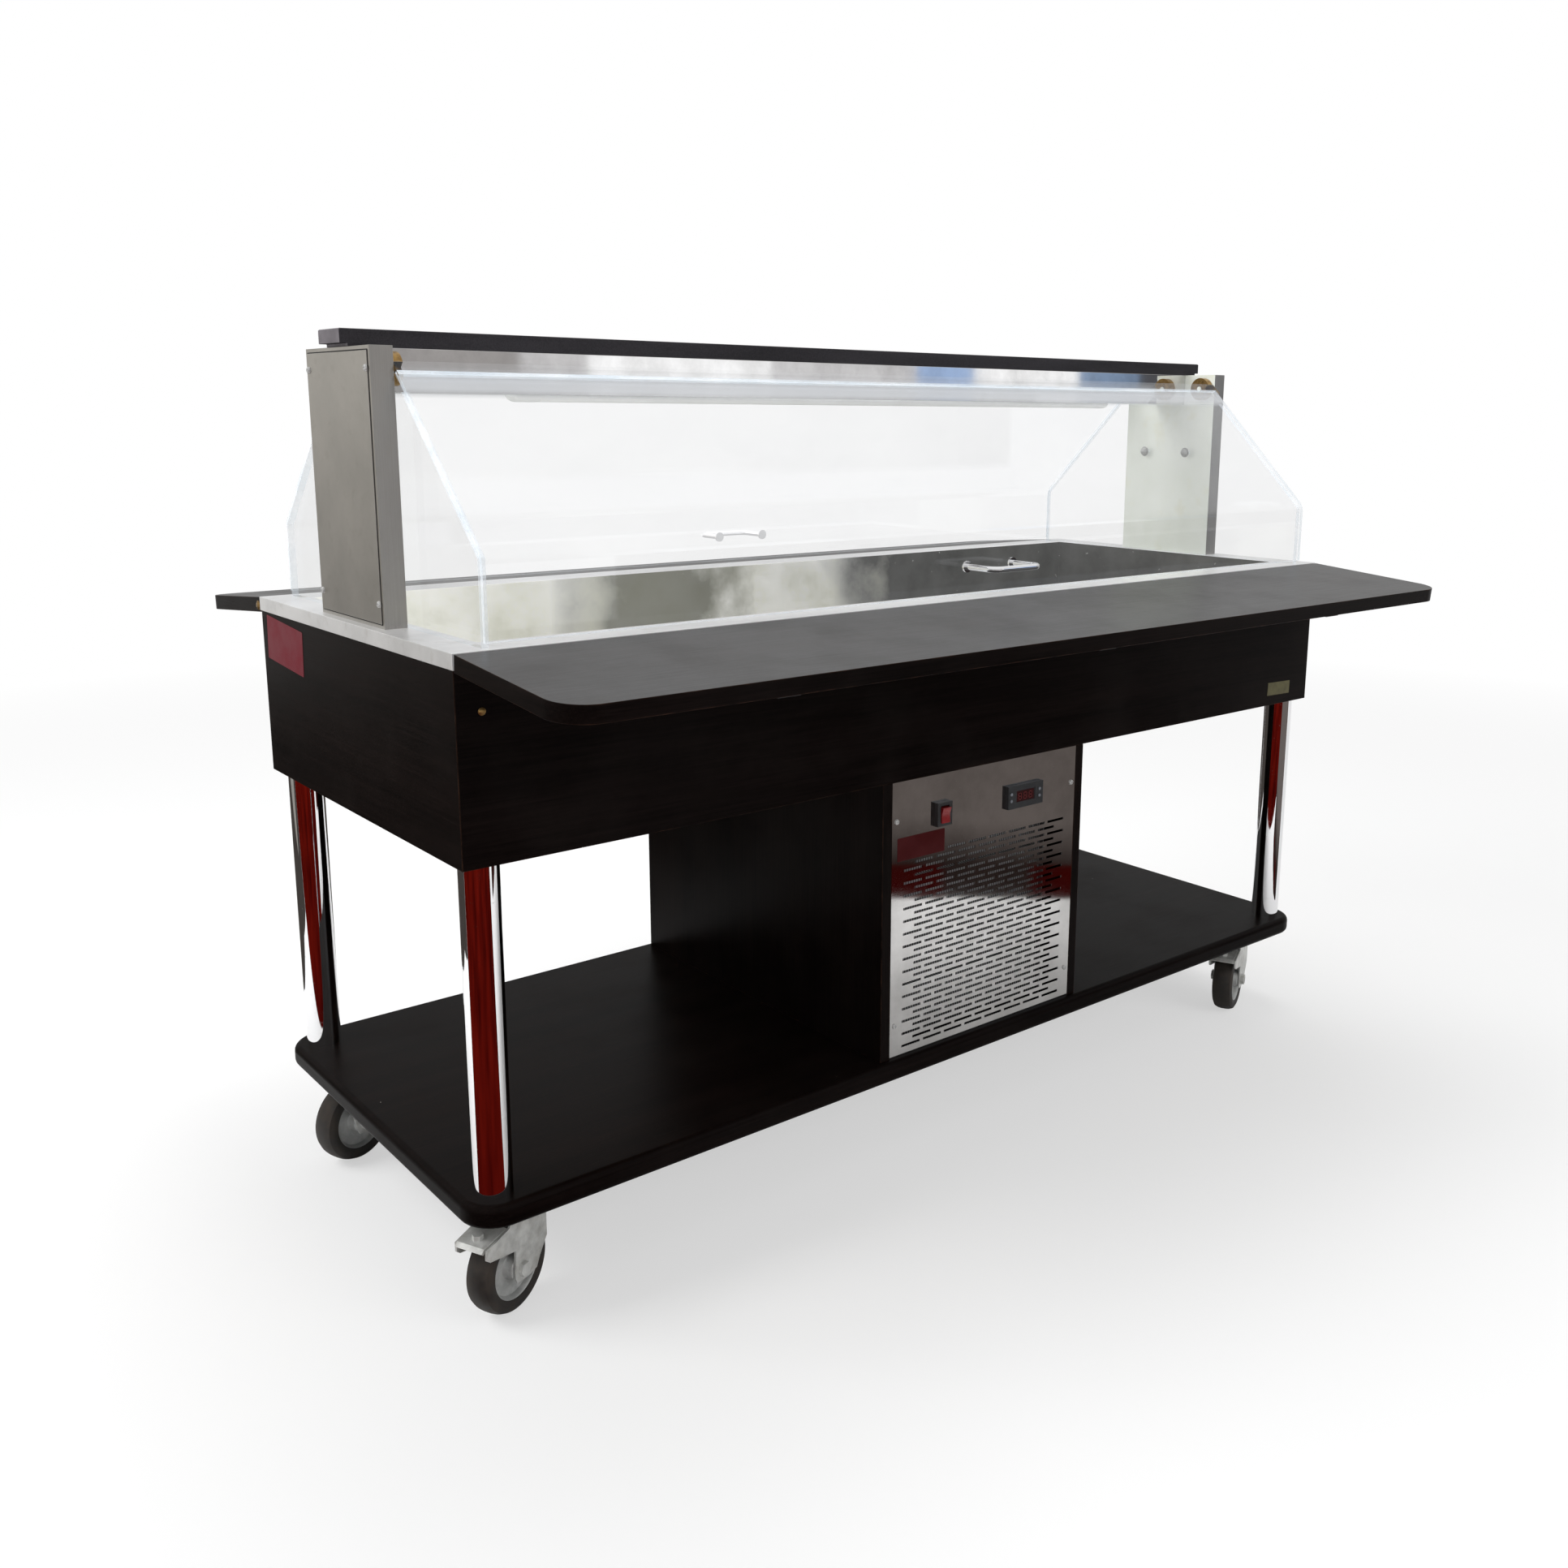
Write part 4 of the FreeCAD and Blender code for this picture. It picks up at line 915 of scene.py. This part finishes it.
def column_covers():
    """Cover sheet on the outer face of each column, with a black plate under its edge that paints the
    shadow of the gap.
    """
    # A black plate a little larger than the sheet: painted shadow along the sheet's edge.
    gap = ("painted_gap_shadow", 9 * mm, 0.25 * mm, SHADOW_GAP)
    sheet = ("cover_sheet", 12 * mm, cover_thick, COLUMN_STEEL)
    held = ("chassis", "stainless_sheet")
    for side, name in SIDES:
        low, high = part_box(f"column_{name}")
        spot = (low.x if side < 0 else high.x, 0, (low.z + high.z) / 2)
        wide, tall = high.y - low.y, high.z - low.z
        for layer, less, thick, finish in (gap, sheet):
            size = (wide - less, tall - less, thick, 1 * mm)
            plate(f"{layer}_{name}", *size, finish, spot, looking((side, 0, 0)), *held)


def lamp_cover():
    """Milky cover of the lamp: a shallow trough with bull-nosed caps at its ends."""
    low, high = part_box("lamp_housing")
    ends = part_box("lamp_diffuser")
    half, deep = (high.y - low.y) / 2 - 1 * mm, high.z - low.z - 0.5 * mm
    nose, seam, steps, fullness = 12 * mm, 36 * mm, 16, 0.55
    rows = [(0, 0.06)]
    for degrees in range(9, 91, 9):
        angle = math.radians(degrees)
        rows.append((nose * (1 - math.cos(angle)), math.sin(angle)))
    rows += [(seam, 1), (seam + 1 * mm, 0.90), (seam + 2 * mm, 0.90), (seam + 3 * mm, 0.97)]
    stations = [(ends[0].x + reach, depth) for reach, depth in rows]
    stations += [(ends[1].x - reach, depth) for reach, depth in reversed(rows)]
    form = bmesh.new()
    before = None
    for x, depth in stations:
        row = []
        for step in range(steps + 1):
            angle = math.pi * step / steps
            y = half * math.copysign(abs(math.cos(angle)) ** fullness, math.cos(angle))
            z = high.z - deep * math.sin(angle) ** fullness * depth
            row.append(form.verts.new((x, y * (0.80 + 0.20 * depth), z)))
        if before:
            for step in range(steps + 1):
                after = (step + 1) % (steps + 1)
                form.faces.new((before[step], row[step], row[after], before[after]))
        else:
            form.faces.new(row)
        before = row
    form.faces.new(before)
    held = (Vector((0, 0, 0)), Matrix.Identity(4), "chassis", "lamp_white")
    cover = made("lamp_cover", form, [FINISHES["lamp_white"]], *held)
    cover.data.shade_smooth()
    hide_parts("lamp_diffuser")
    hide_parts("lamp_housing")


def brass_spots():
    """Brass stay pin on the front board and the brass hinge end of the rear shelf."""
    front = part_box("apron")[0].y
    pin = [(0, 0), (5 * mm, 0), (5 * mm, 0.8 * mm), (3.5 * mm, 1.6 * mm), (0, 2 * mm)]
    spot = (-0.830, front, 0.8065)
    turned("stay_pin", pin, BRASS, spot, (0, -1, 0), "chassis", "zinc_steel", 28)
    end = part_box("shelf_rear")
    cap = [(0, 0), (7 * mm, 0), (7 * mm, 1 * mm), (4.5 * mm, 2.2 * mm), (0, 2.6 * mm)]
    spot = (end[0].x, end[0].y + 9 * mm, end[1].z - 13 * mm)
    turned("hinge_cap", cap, BRASS, spot, (-1, 0, 0), "shelf_rear", "zinc_steel", 28)


def labels():
    """Two plain red stickers, and a strip of blank masking tape."""
    end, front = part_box("apron")[0].x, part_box("apron")[0].y
    held = ("chassis", "wenge")
    film = (0.3 * mm, 2 * mm)
    spot, turn = (end, 0.232, 0.817), looking((-1, 0, 0), roll=-4)
    plate("end_sticker", 0.142, 0.064, *film, STICKER_END, spot, turn, *held)
    spot, turn = (-0.133, front, 0.5135), looking((0, -1, 0))
    plate("grille_sticker", 0.096, 0.036, *film, STICKER_GRILLE_PAINTED_SHADE, spot, turn, *held)
    spot, turn = (0.773, front, 0.648), looking((0, -1, 0), roll=-1.5)
    tape = plate("blank_tape", 0.068, 0.024, 0.25 * mm, 0.6 * mm, TAPE_PAINTED_SHADE, spot, turn, *held)
    torn_from, tear = 0.033, 0.03
    for number, vertex in enumerate(tape.data.vertices):
        if abs(vertex.co.x) > torn_from:
            vertex.co.x *= 1 + tear * math.sin(number * 2.3)


def display():
    """Window and three unlit seven-bar digits, set in the thermostat's recess."""
    low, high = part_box("thermostat_body")
    x, z = (low.x + high.x) / 2 - 1 * mm, (low.z + high.z) / 2
    front, film = low.y + 0.9 * mm, 0.3 * mm
    upright = looking((0, -1, 0))
    held = ((x, front, z), upright, "chassis", "black_plastic")
    plate("display_window", 0.041, 0.018, film, 1 * mm, WINDOW, *held)
    bars = [(0, 5, 5, 1), (0, 0, 5, 1), (0, -5, 5, 1)]
    bars += [(sx * 3.2, sz * 2.5, 1, 4) for sx in (-1, 1) for sz in (-1, 1)]
    around = ((-1, -1), (1, -1), (1, 1), (-1, 1))
    form = bmesh.new()
    for digit in (-12, 0, 12):
        for dx, dz, wide, tall in bars:
            corners = [(digit + dx + sx * wide / 2, dz + sz * tall / 2) for sx, sz in around]
            form.faces.new([form.verts.new((a * mm, b * mm, 0)) for a, b in corners])
    spot = Vector((x, front - 0.35 * mm, z))
    made("display_digits", form, [DIGITS], spot, upright, "chassis", "red_plastic")


def strainer():
    """Perforated disc over the drain hole in the floor of the well."""
    low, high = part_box("drain_spout")
    spot = Vector(((low.x + high.x) / 2, 0, high.z + 1.5 * mm))
    reach, thick, hole = 21 * mm, 1.2 * mm, 2 * mm
    form = bmesh.new()
    bmesh.ops.create_circle(form, cap_ends=True, radius=reach, segments=48)
    base = list(form.faces)
    raised = bmesh.ops.extrude_face_region(form, geom=base)["geom"]
    lifted = [item for item in raised if isinstance(item, bmesh.types.BMVert)]
    bmesh.ops.translate(form, verts=lifted, vec=(0, 0, thick))
    held = (spot, Matrix.Identity(4), "chassis", "stainless_sheet")
    piece = made("drain_strainer", form, [SCREW], *held)
    holes = bmesh.new()
    for ring, count in ((0, 1), (6.5, 6), (13, 12)):
        for step in range(count):
            angle = math.tau * step / count
            x, y = ring * mm * math.cos(angle), ring * mm * math.sin(angle)
            pin = {"cap_ends": True, "segments": 14, "radius1": hole, "radius2": hole, "depth": 4 * mm}
            bmesh.ops.create_cone(holes, matrix=Matrix.Translation((x, y, thick / 2)), **pin)
    mesh = bpy.data.meshes.new("strainer_holes")
    holes.to_mesh(mesh)
    holes.free()
    tool = bpy.data.objects.new("strainer_holes", mesh)
    tool.matrix_world = piece.matrix_world.copy()
    bpy.context.scene.collection.objects.link(tool)
    bore = piece.modifiers.new("bored", "BOOLEAN")
    bore.object = tool
    bore.solver = "EXACT"
    bpy.context.view_layer.update()
    cut = piece.evaluated_get(bpy.context.evaluated_depsgraph_get())
    bored = bpy.data.meshes.new_from_object(cut)
    piece.modifiers.clear()
    piece.data = bored
    bpy.data.objects.remove(tool)


column_covers()
fasteners()
wheels()
lamp_cover()
brass_spots()
labels()
display()
strainer()


# ---------------------------------------------------------------- stage

def floor():
    """Plain pale floor that keeps the shadow of what stands on it."""
    f = Finish("pale_floor")
    seen = f.node("ShaderNodeLightPath", {}, {}, "Is Camera Ray")
    matt = f.node("ShaderNodeBsdfDiffuse", {}, {"Color": (0.86, 0.86, 0.86)})
    white = f.node("ShaderNodeEmission", {}, {"Color": (1, 1, 1), "Strength": 1.0})
    lit = f.node("ShaderNodeMixShader", {}, {0: seen * 0.55, 1: matt, 2: white})
    far = f.node("ShaderNodeVectorMath", {"operation": "LENGTH"}, {0: f.place}, "Value")
    faded = f.node("ShaderNodeMixShader", {}, {0: far.between(2.0, 5.0), 1: lit, 2: white})
    f.node("ShaderNodeOutputMaterial", {}, {"Surface": faded})
    mesh = bpy.data.meshes.new("floor")
    reach = 60
    corners = [(-reach, -reach, 0), (reach, -reach, 0), (reach, reach, 0), (-reach, reach, 0)]
    mesh.from_pydata(corners, [], [(0, 1, 2, 3)])
    mesh.materials.append(f.owner)
    ground = bpy.data.objects.new("floor", mesh)
    bpy.context.scene.collection.objects.link(ground)


def surround():
    """White background; a softer grey lights the object and shows in its metal."""
    world = bpy.data.worlds.new("studio")
    bpy.context.scene.world = world
    f = Finish("studio", world)
    seen = f.node("ShaderNodeLightPath", {}, {}, "Is Camera Ray")
    through = f.node("ShaderNodeLightPath", {}, {}, "Is Transmission Ray")
    mirrored = f.node("ShaderNodeLightPath", {}, {}, "Is Glossy Ray")
    rise = f.part(f.node("ShaderNodeTexCoord", {}, {}, "Generated"), "Z")
    level = 0.42 + seen * 0.58 + through * 0.58 + mirrored * rise.between(0.0, 0.7) * 0.5
    back = f.node("ShaderNodeBackground", {}, {"Color": (1, 1, 1), "Strength": level})
    f.node("ShaderNodeOutputWorld", {}, {"Surface": back})


def lamp_panel(name, spot, target, width, height, power):
    """Soft box lamp aimed at a target."""
    data = bpy.data.lights.new(name, "AREA")
    data.shape = "RECTANGLE"
    data.size = width
    data.size_y = height
    data.energy = power
    lamp = bpy.data.objects.new(name, data)
    lamp.location = spot
    lamp.rotation_euler = (Vector(target) - Vector(spot)).to_track_quat("-Z", "Y").to_euler()
    lamp.visible_glossy = False
    bpy.context.scene.collection.objects.link(lamp)


def camera():
    """Camera at the photograph's viewpoint: turned, tipped and rolled as it was there."""
    yaw, pitch, roll = (math.radians(angle) for angle in (40.12, 11.453, 0.417))
    eye_spot = (-1.561, -1.862, 1.149)
    frame_px, focal_px, sensor = 1932, 1791, 36
    centre_px = (1054.3, 871.0)
    flat = math.cos(pitch)
    look = Vector((math.sin(yaw) * flat, math.cos(yaw) * flat, -math.sin(pitch)))
    level = Vector((math.cos(yaw), -math.sin(yaw), 0))
    up = level.cross(look)
    across = level * math.cos(roll) + up * math.sin(roll)
    upright = up * math.cos(roll) - level * math.sin(roll)
    data = bpy.data.cameras.new("viewpoint")
    data.sensor_width = sensor
    data.lens = sensor * focal_px / frame_px
    data.shift_x = 0.5 - centre_px[0] / frame_px
    data.shift_y = centre_px[1] / frame_px - 0.5
    eye = bpy.data.objects.new("viewpoint", data)
    turn = Matrix((across, upright, -look)).transposed()
    eye.matrix_world = Matrix.Translation(eye_spot) @ turn.to_4x4()
    bpy.context.scene.collection.objects.link(eye)
    bpy.context.scene.camera = eye


def reflection_card(name, corners, foot, head, rise=(0.0, 1.0)):
    """Card of the room round the object, seen only in shiny faces; its shade goes with height."""
    f = Finish(name)
    cloud = f.noise(f.place, 1.4, 3)
    height = f.part(f.place, "Z") + (cloud - 0.5) * 0.12
    tone = f.mix(height.between(*rise), foot, head)
    glow = f.node("ShaderNodeEmission", {}, {"Color": tone, "Strength": 1.0})
    f.node("ShaderNodeOutputMaterial", {}, {"Surface": glow})
    mesh = bpy.data.meshes.new(name)
    mesh.from_pydata(corners, [], [tuple(range(len(corners)))])
    mesh.materials.append(f.owner)
    card = bpy.data.objects.new(name, mesh)
    card.visible_camera = False
    card.visible_diffuse = False
    card.visible_transmission = False
    card.visible_shadow = False
    bpy.context.scene.collection.objects.link(card)


def lying(outline):
    """Corners of a card that lies just over the floor."""
    lift = 2 * mm
    return [(x, y, lift) for x, y in outline]


def standing(start, end, low, high):
    """Corners of an upright card between two spots on the floor."""
    return [(*start, low), (*end, low), (*end, high), (*start, high)]


def room():
    """Red mat, dim walls and windows that show in the posts, the grille panel and the beam."""
    red, deep_red = (0.130, 0.006, 0.003), (0.035, 0.0012, 0.001)
    mat = [(-0.66, -0.42), (-1.12, -0.16), (-2.06, 0.23), (-4.5, 1.2)]
    mat += [(-4.5, -4.2), (1.4, -4.2), (0.9, -2.85)]
    reflection_card("red_mat", lying(mat), deep_red, red, (-0.02, 0.02))
    back = [(-4.5, 1.2), (-2.06, 0.24), (-1.8, 0.70), (-1.0, 0.98)]
    back += [(3.5, 0.98), (3.5, 4.5), (-4.5, 4.5)]
    dim = (0.060, 0.052, 0.047)
    reflection_card("dim_floor", lying(back), dim, dim)
    brown, grey, dark = (0.026, 0.017, 0.015), (0.150, 0.129, 0.120), (0.035, 0.030, 0.030)
    low_wall, high_wall, even = (0.33, 0.315, 0.29), (0.84, 0.82, 0.78), (0.0, 1.0)
    walls = [
        ("near_wall", (0.45, -1.47), (1.30, -0.78), 0.5, brown, grey, (0.08, 0.20)),
        ("red_box_left", (0.60, -1.335), (0.76, -1.205), 0.085, deep_red, red, even),
        ("red_box_right", (0.92, -1.075), (1.05, -0.97), 0.085, deep_red, red, even),
        ("far_wall", (0.95, -3.0), (6.0, -3.0), 1.12, dark, dark, even),
        ("left_wall", (-2.4, 0.9), (-2.4, 7.0), 1.9, low_wall, high_wall, (0.68, 1.25)),
    ]
    for name, start, end, height, foot, head, rise in walls:
        reflection_card(name, standing(start, end, 0, height), foot, head, rise)
    plaster, half_light, white = (0.50, 0.485, 0.48), (0.90, 0.90, 0.92), (1.45, 1.47, 1.50)
    blue, deep_blue, dusk = (0.52, 0.72, 1.10), (0.30, 0.42, 0.62), (0.11, 0.11, 0.12)
    bands = [(0.2, 1.12, plaster), (1.12, 1.42, half_light), (1.42, 2.32, white), (2.32, 3.18, half_light)]
    bands += [(3.18, 3.55, blue), (3.55, 4.32, white), (4.32, 4.80, deep_blue), (4.80, 6.0, dusk)]
    distance, sill, lintel = -3.4, 1.12, 2.2
    for number, (start, end, shade) in enumerate(bands, 1):
        corners = standing((start, distance), (end, distance), sill, lintel)
        reflection_card(f"front_band_{number}", corners, shade, shade)


floor()
surround()
room()
camera()
lamp_panel("key_lamp", (-3.6, 1.4, 3.6), (0, 0, 0.8), 2.6, 2.2, 150)
lamp_panel("top_lamp", (0.6, 0.6, 4.4), (0, 0, 0.9), 3.2, 2.0, 120)
lamp_panel("front_lamp", (1.2, -4.4, 2.6), (0, 0, 0.7), 3.0, 1.6, 60)
bpy.context.scene.view_settings.view_transform = "Standard"
